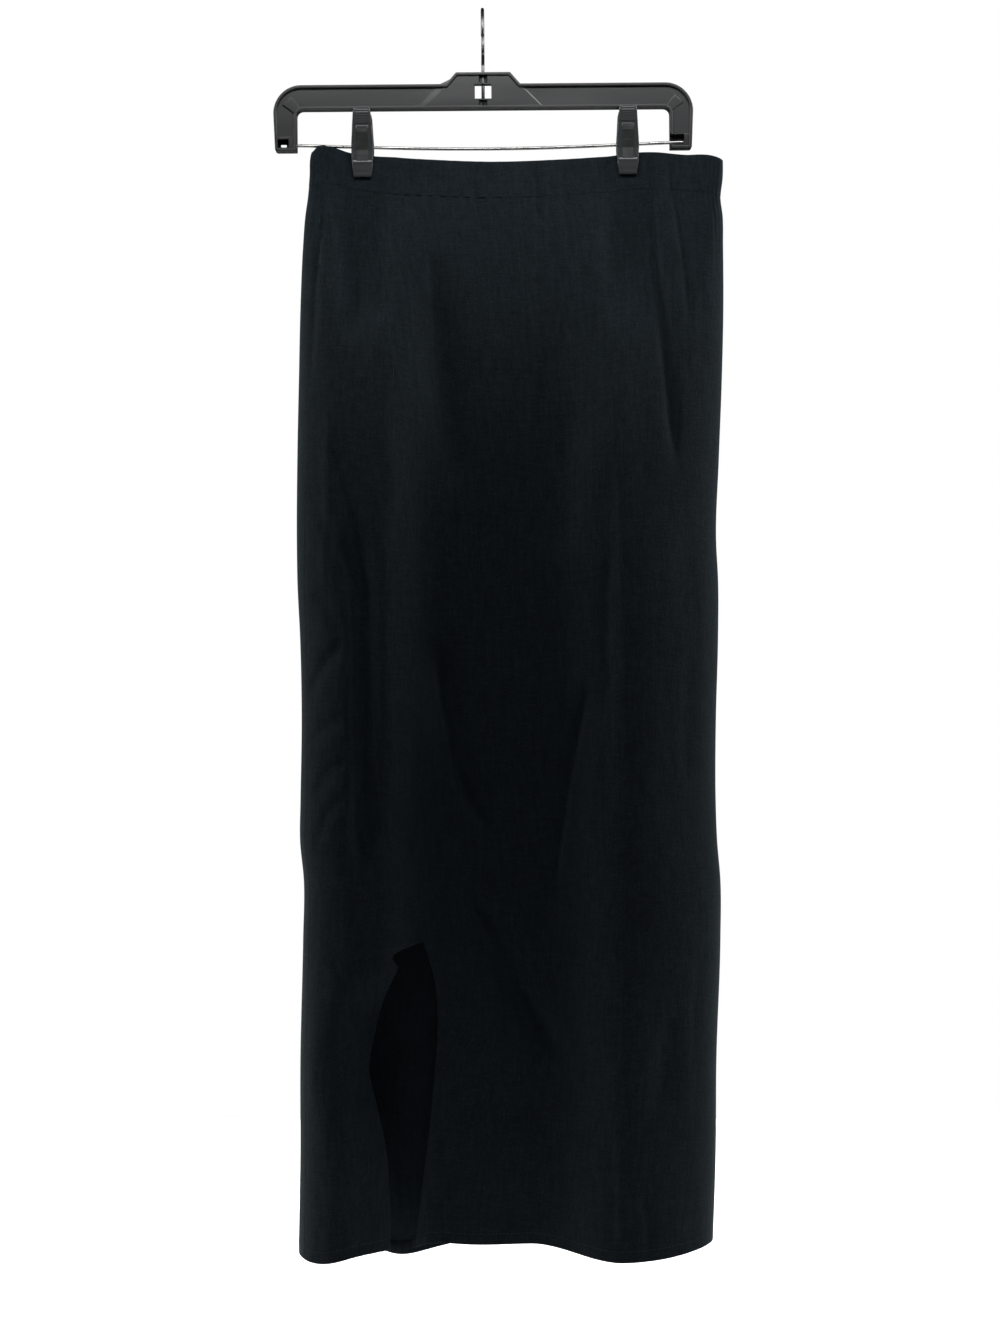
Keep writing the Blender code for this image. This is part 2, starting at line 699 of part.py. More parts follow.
def build_hook(finish, parent):
    """A shank up through the block, then a round hook turned square to the bar."""
    radius = HOOK_INNER_RADIUS + HOOK_WIRE / 2
    centre_z = -HOOK_INNER_RADIUS
    sweep = np.radians(np.linspace(HOOK_START, HOOK_END, HOOK_STEPS + 1)).tolist()
    bend = [(0.0, radius * math.cos(a), centre_z + radius * math.sin(a)) for a in sweep]
    neck = bend[0]
    reach = neck[2] - NECK_Z
    steps = np.linspace(0.0, 1.0, NECK_STEPS, endpoint=False).tolist()
    rise = [(0.0, neck[1] * float(smoothstep(t)), NECK_Z + reach * t) for t in steps]
    shank = [(0.0, 0.0, SHANK_BOTTOM_Z), (0.0, 0.0, (SHANK_BOTTOM_Z + NECK_Z) / 2)]
    return wire("hanger_hook", shank + rise + bend, HOOK_WIRE, finish, parent)


def build_rod(finish, parent):
    xs = np.linspace(ROD_ROUTE[0].x, ROD_ROUTE[-1].x, 30)
    zs = line_z(ROD_ROUTE, xs)
    points = [(x, 0.0, z) for x, z in zip(xs.tolist(), zs.tolist())]
    return wire("clip_rod", points, ROD_WIRE, finish, parent, 2)


def jaw_outer(z):
    rows = JAW_ROWS[::-1]
    return float(np.interp(z, [row.z for row in rows], [row.outer for row in rows]))


def build_jaw(name, x, face, finish, parent):
    """One lever of a clip: a tapering plate with ribbed edges, a fulcrum and a slot."""
    rings = []
    for row in JAW_ROWS:
        across = [
            (-row.half_width, row.inner),
            (-row.half_width, row.outer),
            (JAW_RIB - row.half_width, row.outer),
            (JAW_RIB - row.half_width, row.outer - JAW_RECESS),
            (row.half_width - JAW_RIB, row.outer - JAW_RECESS),
            (row.half_width - JAW_RIB, row.outer),
            (row.half_width, row.outer),
            (row.half_width, row.inner),
        ]
        rings.append([(x + dx, face * y, row.z) for dx, y in across])
    bm = bmesh.new()
    add_loft(bm, rings)
    jaw = place(name, mesh_from(bm, name), finish, parent)
    tool = bmesh.new()
    slot = box_outline(x - SLOT_HALF, x + SLOT_HALF, SLOT_Z[1], SLOT_Z[0])
    add_prism(tool, slot, face * JAW_ROWS[4].inner, face * (JAW_ROWS[0].outer + CUT_BEYOND))
    cut(jaw, cutter(tool, name + "_slot", parent))
    return jaw


def build_spring(name, x, finish, parent):
    """A flat strip bent over the rod, with a leaf down the outside of each jaw."""
    lift = SPRING_THICK / 2 + GAP - JAW_RECESS
    leaf = [(jaw_outer(z) + lift, z) for z in SPRING_LEAF_Z]
    shoulder = (jaw_outer(SPRING_SHOULDER_Z) + lift - SPRING_SHOULDER_IN, SPRING_SHOULDER_Z)
    bridge = (jaw_outer(SPRING_BRIDGE_Z) - SPRING_BRIDGE_IN, SPRING_BRIDGE_Z)
    half = [*leaf, shoulder, bridge]
    path = [(-y, z) for y, z in half] + [(y, z) for y, z in reversed(half)]
    near, far = [], []
    for i, (y, z) in enumerate(path):
        before, after = path[max(i - 1, 0)], path[min(i + 1, len(path) - 1)]
        run_y, run_z = after[0] - before[0], after[1] - before[1]
        length = math.hypot(run_y, run_z)
        off_y, off_z = -run_z / length * SPRING_THICK / 2, run_y / length * SPRING_THICK / 2
        near.append((y + off_y, z + off_z))
        far.append((y - off_y, z - off_z))
    outline = near + far[::-1]
    bm = bmesh.new()
    add_loft(bm, [[(x + dx, y, z) for y, z in outline] for dx in (-SPRING_HALF, SPRING_HALF)])
    return place(name, mesh_from(bm, name), finish, parent)


def build_clips(plastic, steel, parent):
    for side, x in CLIP_X.items():
        drop = float(line_z(ROD_ROUTE, x)) - FULCRUM_Z
        hung = bpy.data.objects.new(f"clip_{side}", None)
        bpy.context.collection.objects.link(hung)
        hung.parent = parent
        hung.location = (0.0, 0.0, drop * MM)
        build_jaw(f"clip_{side}_front_jaw", x, -1, plastic, hung)
        build_jaw(f"clip_{side}_back_jaw", x, 1, plastic, hung)
        build_spring(f"clip_{side}_spring", x, steel, hung)


def main():
    clear_scene()
    cloth = material("black_cloth", (0.008, 0.009, 0.010), 0.9, 0.0)
    plastic = material("black_plastic", (0.02, 0.021, 0.022), 0.35, 0.0)
    steel = material("bright_steel", (0.55, 0.55, 0.54), 0.3, 1.0)
    dark_steel = material("dark_steel", (0.10, 0.10, 0.105), 0.35, 1.0)
    skirt = bpy.data.objects.new("skirt", None)
    hanger = bpy.data.objects.new("hanger", None)
    for empty in (skirt, hanger):
        bpy.context.collection.objects.link(empty)
    hanger.rotation_euler.y = -HANGER_TILT
    build_waistband(cloth, skirt)
    build_skirt(cloth, skirt)
    build_frame(plastic, hanger)
    build_hook(dark_steel, hanger)
    build_rod(steel, hanger)
    build_clips(plastic, dark_steel, hanger)


main()
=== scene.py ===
"""A straight black maxi skirt on a clip hanger: its cloth, its hanger and a plain studio.

Lengths in the tables are millimetres, as on a maker's drawing. X runs to the viewer's right, the
front faces -Y and Z is up. The origin is the top of the hollow of the hook.
"""

import math
from collections import namedtuple

import bmesh
import bpy
import mathutils
import numpy as np
from bpy.props import FloatProperty, FloatVectorProperty, PointerProperty
from bpy.types import Operator, Panel, PropertyGroup
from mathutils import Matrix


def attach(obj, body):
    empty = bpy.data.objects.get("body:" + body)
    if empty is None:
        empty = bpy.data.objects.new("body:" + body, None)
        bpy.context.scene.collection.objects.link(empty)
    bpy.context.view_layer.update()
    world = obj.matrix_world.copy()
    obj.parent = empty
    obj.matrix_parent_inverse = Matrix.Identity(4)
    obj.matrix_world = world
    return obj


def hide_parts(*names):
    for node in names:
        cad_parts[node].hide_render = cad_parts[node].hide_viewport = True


bl_info = {
    "name": "Maxi Skirt on Clip Hanger",
    "version": (1, 0, 0),
    "blender": (4, 5, 0),
    "location": "3D View > Sidebar > Skirt",
    "description": "Builds the cloth, the hanger and the studio around the packed skirt",
    "category": "Add Mesh",
}

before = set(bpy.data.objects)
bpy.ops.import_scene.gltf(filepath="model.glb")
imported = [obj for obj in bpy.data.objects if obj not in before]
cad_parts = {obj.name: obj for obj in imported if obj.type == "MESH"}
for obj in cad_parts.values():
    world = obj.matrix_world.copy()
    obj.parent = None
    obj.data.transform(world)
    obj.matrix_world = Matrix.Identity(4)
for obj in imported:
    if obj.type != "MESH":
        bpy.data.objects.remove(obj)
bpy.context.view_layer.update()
MM = 0.001

# The form of the cloth, in the same sizes as its solids.
LAYER_HALF_GAP = 1.25
BAND_SEAM_Z = -158.0
CLIP_X = {"left": -102.5, "right": 122.2}
CLIP_HOLD = 11.0
CLIP_EASE = 18.0
JAW_END_Z = -140.5
EASE_END_Z = -290.0
HANGER_TILT = math.radians(0.45)

Section = namedtuple(
    "Section",
    "z left right round_left round_right"
    " front_left front_mid front_right back_left back_mid back_right",
)
SECTIONS = [
    Section(-112, -141.5, 202.8, 3.4, 2.6, 3.7, 5.0, 2.4, 2.6, 6.5, 2.4),
    Section(-121, -144.8, 203.2, 3.4, 2.8, 3.7, 5.2, 2.5, 2.8, 6.8, 2.5),
    Section(-140, -146.0, 203.2, 3.4, 3.2, 3.2, 5.8, 2.8, 3.0, 7.6, 2.8),
    Section(-158, -147.6, 201.4, 5.0, 5.0, 4.0, 6.6, 4.0, 3.8, 8.6, 3.8),
    Section(-172, -149.6, 203.2, 8.0, 8.0, 5.8, 7.4, 5.8, 5.4, 9.6, 5.4),
    Section(-198, -151.6, 203.6, 14, 15, 9.5, 8.8, 9.2, 8.4, 11.5, 8.4),
    Section(-244, -153.6, 203.9, 24, 30, 17.0, 10.6, 16.4, 14.0, 14.5, 14.4),
    Section(-312, -155.1, 202.5, 34, 46, 26.0, 12.0, 25.5, 22.0, 17.0, 22.5),
    Section(-380, -156.4, 199.9, 40, 58, 33.0, 12.0, 32.5, 28.0, 18.5, 29.0),
    Section(-448, -156.8, 197.6, 44, 66, 38.0, 11.0, 38.0, 32.0, 19.0, 33.0),
    Section(-482, -156.3, 199.3, 45, 68, 40.0, 10.5, 40.0, 34.0, 19.0, 35.0),
    Section(-533, -153.9, 199.2, 46, 70, 42.0, 9.5, 42.5, 36.0, 19.0, 37.0),
    Section(-600, -152.6, 197.4, 46, 72, 44.0, 8.0, 45.0, 37.5, 18.5, 39.0),
    Section(-668, -153.6, 197.2, 46, 74, 45.5, 6.5, 47.0, 39.0, 18.0, 40.5),
    Section(-702, -154.0, 198.4, 46, 74, 46.0, 5.5, 48.0, 39.5, 18.0, 41.0),
    Section(-736, -150.8, 201.2, 46, 75, 46.5, 4.5, 48.5, 40.0, 18.0, 41.5),
    Section(-787, -151.4, 201.2, 46, 76, 47.0, 3.5, 49.0, 40.5, 17.5, 42.0),
    Section(-889, -153.7, 197.8, 46, 78, 48.0, 2.0, 50.0, 41.0, 17.0, 43.0),
    Section(-970, -153.8, 197.2, 46, 80, 48.0, 1.0, 51.0, 42.0, 17.0, 44.0),
    Section(-1043, -155.0, 194.8, 46, 80, 48.0, 0.0, 52.0, 42.0, 17.0, 44.0),
]
FRONT_FLANKS = ((-0.64, -0.30), (0.12, 0.56))
BACK_FLANKS = ((-0.66, -0.28), (0.20, 0.62))

Point = namedtuple("Point", "x z")


def drawn_line(*pairs):
    return [Point(*pair) for pair in pairs]


WAIST_FRONT_LINE = drawn_line(
    (-147, -120.0), (-144.5, -116.2), (-141, -114.7), (-136, -115.2), (-127.7, -117.0),
    (-116.7, -120.0), (-108, -121.8), (-90, -123.5), (-36, -127.5), (5, -128.8), (57, -127.2),
    (100, -124), (134, -119.8), (168, -122.2), (197, -124.3), (204, -127.5),
)
WAIST_BACK_LINE = drawn_line(
    (-146, -120), (-129, -119.5), (-112, -121.5), (-90, -124.5), (-36, -128.5), (5, -130),
    (57, -128.5), (100, -125), (134, -121), (168, -122.6), (197, -124.3), (204, -127.5),
)
BAND_SEAM_LINE = drawn_line(
    (-148, -147.5), (-129, -146.5), (-112, -149.5), (-90, -153.5), (-36, -157.5), (5, -158.8),
    (57, -157.2), (100, -154), (134, -150), (168, -151.5), (204, -156),
)
HEM_LINE = drawn_line(
    (-155, -1050), (-132, -1051), (-100, -1045), (-50, -1043), (0, -1046), (60, -1045),
    (112, -1046.5), (150, -1045), (196, -1040),
)
BACK_HEM_SAG = 17.0
BACK_HEM_SAG_X = -68.0
BACK_HEM_SAG_REACH = 36.0
SLIT_TOP_Z = -787.0
SLIT_SEAM = drawn_line(
    (-94.6, -158), (-89.5, -193), (-78.5, -267), (-71.7, -335), (-65.8, -420), (-59.8, -527),
    (-56.5, -612), (-52.0, -686), (-50.0, -787),
)
SLIT_LEFT_EDGE = drawn_line(
    (-50.3, -787), (-63.0, -790), (-70.5, -808), (-79.0, -825), (-89.0, -859), (-94.0, -892),
    (-88.0, -920), (-80.5, -958), (-77.5, -1000), (-77.0, -1052),
)
SLIT_RIGHT_EDGE = drawn_line(
    (-50.0, -787), (-45.5, -800), (-43.5, -930), (-48.5, -975), (-58.0, -1048),
)
SLIT_ANGLE = math.radians(-24.0)
FLAP_CURL = 17.0
FLAP_CURL_WIDTH = 50.0
FLAP_CURL_LENGTH = 60.0
LEFT_SEAM_ANGLES = (-67.0, -74.0)
RIGHT_SEAM_ANGLES = (106.0, 103.0)

# One row for each fold or crease. It is a trough as deep as its depth (a ridge where that is
# negative) along its route, and fades over one width to its left and another to its right.
Fold = namedtuple("Fold", "side to_left to_right depth route")
FOLDS = [
    Fold("front", 8, 4, 3.2, [(141, -125), (148, -202), (155, -267), (160, -340), (162, -400)]),
    Fold("front", 10, 10, 3.5, [(-117, -150), (-111, -200), (-109, -245), (-112, -290)]),
    Fold("front", 9, 13, 7.0, [(-112, -420), (-103, -485), (-99, -550), (-97, -640), (-98, -755)]),
    Fold("front", 12, 12, 4.0, [(-45, -230), (-38, -300), (-28, -372), (-30, -420)]),
    Fold("front", 12, 12, 4.0, [(75, -330), (70, -400), (66, -470)]),
    Fold("front", 12, 11, 9.0, [(-40, -520), (-34, -590), (-25, -635), (-10, -670), (16, -716)]),
    Fold("front", 10, 14, 6.0, [(92, -556), (79, -618), (70, -668), (63, -720), (61, -765)]),
    Fold("front", 12, 12, 7.5, [(-15, -735), (8, -780), (28, -826), (46, -858), (68, -895)]),
    Fold("front", 30, 26, 5.0, [(8, -620), (26, -690), (38, -740), (50, -800)]),
    Fold("front", 14, 16, 2.2, [(158, -838), (152, -880), (146, -935)]),
    Fold("front", 14, 7, 3.2, [(104, -365), (105, -470), (104, -600), (102, -720)]),
    Fold("back", 10, 10, 6.0, [(-80, -158), (-84, -240), (-92, -340), (-95, -430)]),
    Fold("back", 10, 10, 5.0, [(140, -158), (146, -230), (158, -330), (162, -400)]),
    Fold("back", 14, 14, 6.0, [(10, -300), (4, -420), (-8, -560), (-14, -700)]),
    Fold("back", 12, 12, 8.0, [(-100, -480), (-90, -580), (-62, -690), (-30, -760)]),
    Fold("back", 12, 12, 8.0, [(138, -500), (122, -600), (92, -700), (62, -770)]),
    Fold("back", 14, 14, 6.0, [(22, -800), (34, -880), (40, -960), (38, -1040)]),
]
CREASES = [
    Fold("front", 2.5, 9, 1.6, [(-119, -150), (-113, -187), (-110, -221), (-110, -263)]),
    Fold("front", 9, 7, 2.4, [(-92, -158), (-85, -205), (-79, -272)]),
    Fold("front", 4, 14, 3.2, [(-44, -190), (-41, -247), (-33, -300), (-26, -372), (-24, -420)]),
    Fold("front", 3, 4, 1.6, [(-137, -140), (-137, -203), (-140, -232), (-142, -270), (-145, -330)]),
    Fold("front", 3, 10, 2.0, [(-133, -350), (-120, -392), (-108, -434), (-100, -483), (-96, -540)]),
    Fold("front", 12, 4, 1.8, [(-97, -533), (-97, -599), (-100, -666), (-105, -732)]),
    Fold("front", 12, 18, 1.4, [(-58, -325), (-53, -391), (-50, -466), (-47, -533), (-45, -610)]),
    Fold("front", 3, 12, 3.2, [(-41, -533), (-34, -588), (-24, -634), (-7, -672), (14, -710)]),
    Fold("front", 5, 14, 2.8, [(-17, -736), (5, -778), (25, -820), (47, -858), (66, -890)]),
    Fold("front", 2.0, 2.6, 3.0, [(92, -556), (81, -609), (72, -659), (65, -710), (61, -756)]),
    Fold("front", 2.0, 3.5, 1.3, [(74, -537), (70, -583), (65, -632)]),
    Fold("front", 12, 4.0, 1.2, [(107, -355), (110, -432), (112, -516), (114, -600), (115, -726)]),
    Fold("front", 5, 2.5, 1.6, [(109, -453), (104, -499), (104, -550), (110, -596)]),
    Fold("front", 2.2, 3.2, 1.0, [(-11, -600), (15, -590), (44, -585)]),
    Fold(
        "front", 4.0, 2.6, 4.0,
        [(140, -112), (144, -170), (147, -212), (153, -271), (158, -334), (161, -392)],
    ),
    Fold("front", 2.5, 3.5, 1.6, [(155, -118), (165, -175), (170, -215), (175, -272)]),
    Fold("front", 5, 9, 0.9, [(157, -836), (150, -872), (144, -926)]),
    Fold("front", 5, 5, 1.0, [(173, -533), (168, -600), (170, -667)]),
    Fold("front", 4, 6, 1.7, [(-146, -405), (-132, -434), (-125, -470)]),
    Fold("front", 5, 6, 2.2, [(-146, -490), (-130, -504), (-115, -536)]),
    Fold("front", 6, 5, 2.4, [(-146, -585), (-135, -560), (-112, -530)]),
    Fold("front", 5, 4, 1.9, [(-145, -621), (-130, -604), (-110, -597)]),
    Fold("front", 6, 4, 1.8, [(-143, -667), (-126, -641), (-109, -630)]),
    Fold("front", 4, 3, 1.3, [(-141, -709), (-127, -675), (-110, -659)]),
    Fold("front", 3, 3, 1.2, [(-135, -432), (-117, -457), (-106, -494)]),
    Fold("front", 3, 3, 1.1, [(-126, -795), (-113, -818), (-107, -866)]),
    Fold("front", 4, 4, -1.2, [(-130, -330), (-128, -420), (-134, -500)]),
    Fold("front", 6, 6, -1.0, [(-80, -300), (-76, -400), (-80, -520), (-76, -640)]),
    Fold("front", 44, 26, -4.0, [(-84, -190), (-78, -300), (-72, -420), (-68, -560), (-66, -700)]),
    Fold("front", 32, 50, -6.5, [(108, -200), (106, -420), (108, -650), (105, -850), (100, -1060)]),
    Fold("front", 2.2, 2.2, 1.5, [(-4, -144), (-5, -190)]),
    Fold("front", 2.2, 3.0, 1.6, [(46, -134), (47, -182)]),
    Fold("front", 4, 4, 0.9, [(61, -192), (65, -246), (78, -313)]),
    Fold("front", 5, 5, 1.0, [(15, -462), (25, -516), (22, -570)]),
    Fold("front", 6, 4, 1.1, [(-10, -360), (-23, -406), (-26, -468)]),
    Fold("front", 5, 5, 0.9, [(-23, -917), (15, -936), (50, -921)]),
    Fold("front", 4, 4, 1.2, [(131, -985), (137, -1017), (139, -1040)]),
    Fold("front", 6, 2.5, 1.7, [(106, -930), (109, -992), (108, -1046)]),
    Fold("front", 5, 5, -1.1, [(40, -220), (44, -330), (34, -430)]),
    Fold("front", 6, 6, -1.2, [(186, -420), (184, -560), (187, -700)]),
    Fold("front", 5, 5, 1.0, [(182, -780), (176, -850), (180, -940)]),
    Fold("back", 3, 8, 2.0, [(-80, -150), (-85, -240), (-93, -340), (-96, -440)]),
    Fold("back", 8, 3, 2.0, [(140, -150), (147, -230), (159, -330), (163, -410)]),
    Fold("back", 3, 9, 2.2, [(-101, -470), (-90, -580), (-63, -690), (-28, -770)]),
    Fold("back", 9, 3, 2.4, [(139, -490), (122, -600), (93, -700), (60, -780)]),
    Fold("back", 4, 4, 1.4, [(70, -170), (62, -260), (66, -350)]),
    Fold("back", 4, 4, 1.3, [(-30, -165), (-36, -250), (-30, -340)]),
    Fold("back", 3, 6, 1.6, [(12, -380), (2, -470), (-8, -580), (-6, -680)]),
    Fold("back", 3, 4, 1.4, [(-140, -520), (-122, -540), (-108, -580)]),
    Fold("back", 3, 4, 1.3, [(-142, -640), (-124, -628), (-104, -640)]),
    Fold("back", 3, 4, 1.3, [(178, -560), (162, -590), (146, -640)]),
    Fold("back", 4, 4, 1.2, [(170, -840), (160, -900), (164, -980)]),
    Fold("back", 40, 46, 15.0, [(-84, -720), (-76, -860), (-70, -960), (-68, -1140)]),
    Fold("back", 6, 3, 1.6, [(-70, -880), (-76, -950), (-72, -1040)]),
    Fold("back", 4, 7, 1.6, [(96, -860), (104, -940), (100, -1042)]),
]
FOLD_FADE = 0.22

# Soft unevenness of hung cloth: the height of each ripple, the size of its cells across and
# along the cloth, and the seed of its lattice.
Ripple = namedtuple("Ripple", "height across along seed")
RIPPLES = [
    Ripple(0.55, 46.0, 120.0, 3),
    Ripple(0.28, 19.0, 60.0, 5),
    Ripple(0.12, 8.0, 22.0, 7),
]
LATTICE = 64

# Gathers under the waistband, drawn up by its elastic.
GATHER_HEIGHT = 0.55
GATHER_PITCH = 11.5
GATHER_LENGTH = 34.0
GATHER_STRENGTH = (0.55, 0.45)
GATHER_WANDER = 2.6
GATHER_DRIFT = Ripple(1.0, 37.0, 90.0, 11)
DRIFT_STRETCH = 0.2
BAND_GATHER = (0.45, 0.55)
BAND_GATHER_FADE = 7.0
SEAM_PUCKER = 0.28
SEAM_PUCKER_PITCH = 13.0
SEAM_PUCKER_REACH = 7.0
SEAM_PUCKER_WANDER = 3.0

# The pieces' finer build: sheets of cloth with turned edges, and stitches.
PANEL_FACE = 0.6
BAND_FACE = 0.75
TURN_RADIUS = 0.55
SEAM_RADIUS = 0.32
TURN_STEPS = 4
EDGE_ROW = 0.2
SLOPE_STEP = 1e-3
HEM_TURN = 11.0
SEAM_TURN = 9.0
TUCK = ((-1.6, 0.45), (-0.7, 0.42), (-0.3, 0.36), (-0.05, 0.0), (0.08, 0.0), (0.6, 0.0))
PANEL_LENGTH = 890.0
PANEL_ROWS = 200
PANEL_FIRST_ROW = 2.4
SLIT_ROWS = 14
SLIT_ROWS_REACH = (-5.0, 24.0)
COLUMNS = {"front_side_cloth": 62, "front_main_cloth": 180, "back_cloth": 180}
BAND_COLUMNS = 420
BAND_ROWS = 22
BAND_SECOND_ROW = -0.03
BAND_BEND_POINTS = 7
BAND_DEPTH = 30.0
AROUND = 1100.0
HEM_STITCH_UP = 9.4
STITCH_PITCH = 3.3
STITCH_LENGTH = 2.5
STITCH_SIDES = 6
STITCH_PATH_POINTS = 900
STITCH_RINGS = ((0.0, -0.16, 0.6), (0.3, 0.06, 1.0), (0.7, 0.06, 1.0), (1.0, -0.16, 0.6))

# The hanger, on its own drawing before it tilts.
FRAME_HALF_WIDTH = 177.8
FRAME_HALF_THICK = 4.5
BAR_TOP_Z = -61.7
BAR_BOTTOM_Z = -82.6
LEG_BOTTOM_Z = -117.7
LEG_WIDTH = 19.8
LEG_TAPER = 1.2
LEG_FOOT_RADIUS = 2.4
OUTER_RADIUS = 23.8
INNER_RADIUS = 5.5
BLOCK_TOP_Z = -51.9
BLOCK_TOP_HALF = 22.9
BLOCK_BASE_HALF = 31.5
RIM = 2.6
POCKET_DEPTH = 2.2
PLATE_DROP = 1.4
PLATE_SEAT = 0.1
EDGE_TURNS = (0.0, 30.0, 60.0, 90.0)
RAMP = {-1: 9.0, 1: 1.8}
BLOCK_SPREAD = (2.0, 18.0)
FOOT_BLOCK_Z = -105.0
LEFT_FOOT_POCKET = (-174.5, -165.0, -114.4, -107.0)
LEFT_FOOT_HOLE = (-172.0, -167.2, -112.8, -110.6)
FOOT_POCKET_FLOOR_Y = 2.2
RIGHT_ROD_SLOT = (150.0, 170.2, -113.6, -105.4)
ROD_WIRE = 2.7
WINDOW_HALF = 7.0
WINDOW_Z = (-74.0, -61.7)
SOCKET_RADIUS = 4.0
SOCKETS_Z = ((-80.0, -75.0), (-60.7, -54.0))
CORNER_RIB = [(162.5, -71.5), (169.8, -78.2), (158.9, -86.4), (154.2, -81.7)]
CORNER_RIB_FACE = {-1: 3.9, 1: 2.8}
SEAT_GAP = 0.3

HOOK_WIRE = 2.8
HOOK_INNER_RADIUS = 18.0
HOOK_START = -42.0
HOOK_END = 205.0
HOOK_POINTS = 90
NECK_POINTS = 16
ROD_POINTS = 120
NECK_Z = -47.0
SHANK_BOTTOM_Z = -79.5
ROD_ROUTE = drawn_line(
    (-164.0, -112.0), (-154.9, -112.2), (-102.6, -113.9), (-60.0, -115.2), (-10.0, -115.9),
    (45.0, -115.6), (90.0, -114.4), (121.6, -113.3), (150.0, -112.2), (169.5, -111.6),
)

JawRow = namedtuple("JawRow", "z half_width outer inner")
JAW_ROWS = [
    JawRow(-83.8, 6.7, 12.4, 10.4),
    JawRow(-88.0, 7.6, 12.2, 9.8),
    JawRow(-96.0, 8.2, 10.6, 8.0),
    JawRow(-104.0, 8.7, 8.9, 6.2),
    JawRow(-110.5, 9.2, 7.6, 4.6),
    JawRow(-112.6, 9.3, 7.2, 1.75),
    JawRow(-116.4, 9.4, 6.6, 1.75),
    JawRow(-118.4, 9.4, 6.3, 3.6),
    JawRow(-131.0, 8.8, 5.6, 3.2),
    JawRow(-134.0, 8.4, 5.4, 2.45),
    JawRow(JAW_END_Z, 7.3, 4.7, 2.45),
]
JAW_RIB = 1.3
JAW_RECESS = 0.45
JAW_RECESS_Z = (-127.8, -96.6)
JAW_ROUND = 0.8
JAW_END_ROUNDING = 0.8
JAW_RIB_EASE = 0.5
JAW_RELIEF_EASE = 0.8
JAW_LEAST_WALL = 0.15
JAW_INSIDE = (0.94, 0.5, 0.0, -0.5, -0.94)
JAW_LEVELS = 110
JAW_ACROSS = 34
FULCRUM_Z = -114.5
SLOT_Z = (-97.2, -100.8)
SLOT_HALF = 5.2
SLOT_Y = (5.0, 14.0)
THUMB_RIDGES_Z = (-95.6, -84.8)
THUMB_RIDGE_PITCH = 2.15
THUMB_RIDGE_HEIGHT = 0.32
THUMB_RIDGE_HALF = 5.6
LIP_GROOVES_Z = (-137.5, -129.6)
LIP_GROOVE_DEPTH = 0.12
LIP_GROOVE_SIDE = 1.2


class ClothSettings(PropertyGroup):
    """Sizes and colours of the cloth."""

    thickness: FloatProperty(
        name="Thickness", description="Thickness of one layer", default=0.0005, unit="LENGTH"
    )
    black: FloatVectorProperty(
        name="Black", description="Colour of the dyed yarn", default=(0.0063, 0.0101, 0.0133),
        subtype="COLOR",
    )
    yarn: FloatProperty(
        name="Yarn Pitch", description="Distance from yarn to yarn", default=0.00062, unit="LENGTH"
    )
    slub: FloatProperty(
        name="Slub", description="How much thick and thin yarns show", default=0.42,
        subtype="FACTOR", min=0.0, max=1.0,
    )
    nap: FloatProperty(
        name="Nap", description="Fine loose fibres that catch light from the side", default=0.10,
        subtype="FACTOR", min=0.0, max=1.0,
    )
    thread: FloatProperty(
        name="Thread", description="Thickness of the sewing thread", default=0.00036, unit="LENGTH"
    )
    thread_black: FloatVectorProperty(
        name="Thread Black", description="Colour of the sewing thread",
        default=(0.011, 0.013, 0.015), subtype="COLOR",
    )


class HangerSettings(PropertyGroup):
    """Sizes and colours of the hanger."""

    edge_round: FloatProperty(
        name="Edge Round", description="Radius of the moulded edges", default=0.0006, unit="LENGTH"
    )
    plastic: FloatVectorProperty(
        name="Plastic", description="Colour of the moulded plastic",
        default=(0.018, 0.019, 0.020), subtype="COLOR",
    )
    clips: FloatVectorProperty(
        name="Clips", description="Colour of the clips' plastic", default=(0.029, 0.031, 0.033),
        subtype="COLOR",
    )
    bright: FloatVectorProperty(
        name="Bright Steel", description="Colour of the rod", default=(0.30, 0.30, 0.295),
        subtype="COLOR",
    )
    dark: FloatVectorProperty(
        name="Dark Steel", description="Colour of the hook", default=(0.10, 0.10, 0.105),
        subtype="COLOR",
    )
    leaf: FloatVectorProperty(
        name="Leaf Steel", description="Colour of the clips' springs",
        default=(0.11, 0.115, 0.115), subtype="COLOR",
    )


class StudioSettings(PropertyGroup):
    """The camera, the lights and the floor."""

    distance: FloatProperty(
        name="Distance", description="From the camera to the skirt", default=1.7, unit="LENGTH"
    )
    centre_x: FloatProperty(
        name="Centre X", description="Across, at the picture's middle", default=0.0149,
        unit="LENGTH",
    )
    centre_z: FloatProperty(
        name="Centre Z", description="Height at the picture's middle", default=-0.5552,
        unit="LENGTH",
    )
    view_height: FloatProperty(
        name="View Height", description="Height that the picture takes in", default=1.1313,
        unit="LENGTH",
    )
    floor_z: FloatProperty(
        name="Floor", description="Height of the floor", default=-1.30, unit="LENGTH"
    )
    key: FloatProperty(
        name="Key", description="Power of the light above the front", default=2.4
    )
    left: FloatProperty(name="Left", description="Power of the light at the left", default=16.5)
    right: FloatProperty(name="Right", description="Power of the light at the right", default=20.5)
    surround: FloatProperty(
        name="Surround", description="Brightness of the studio's back and side walls", default=0.008
    )
    front: FloatProperty(
        name="Front", description="Brightness of the wall behind the camera", default=0.006
    )
    low: FloatProperty(name="Low", description="Power of the reflector at the hem", default=0.42)
    backdrop: FloatProperty(
        name="Backdrop", description="Power of the light on the floor behind", default=30.0
    )


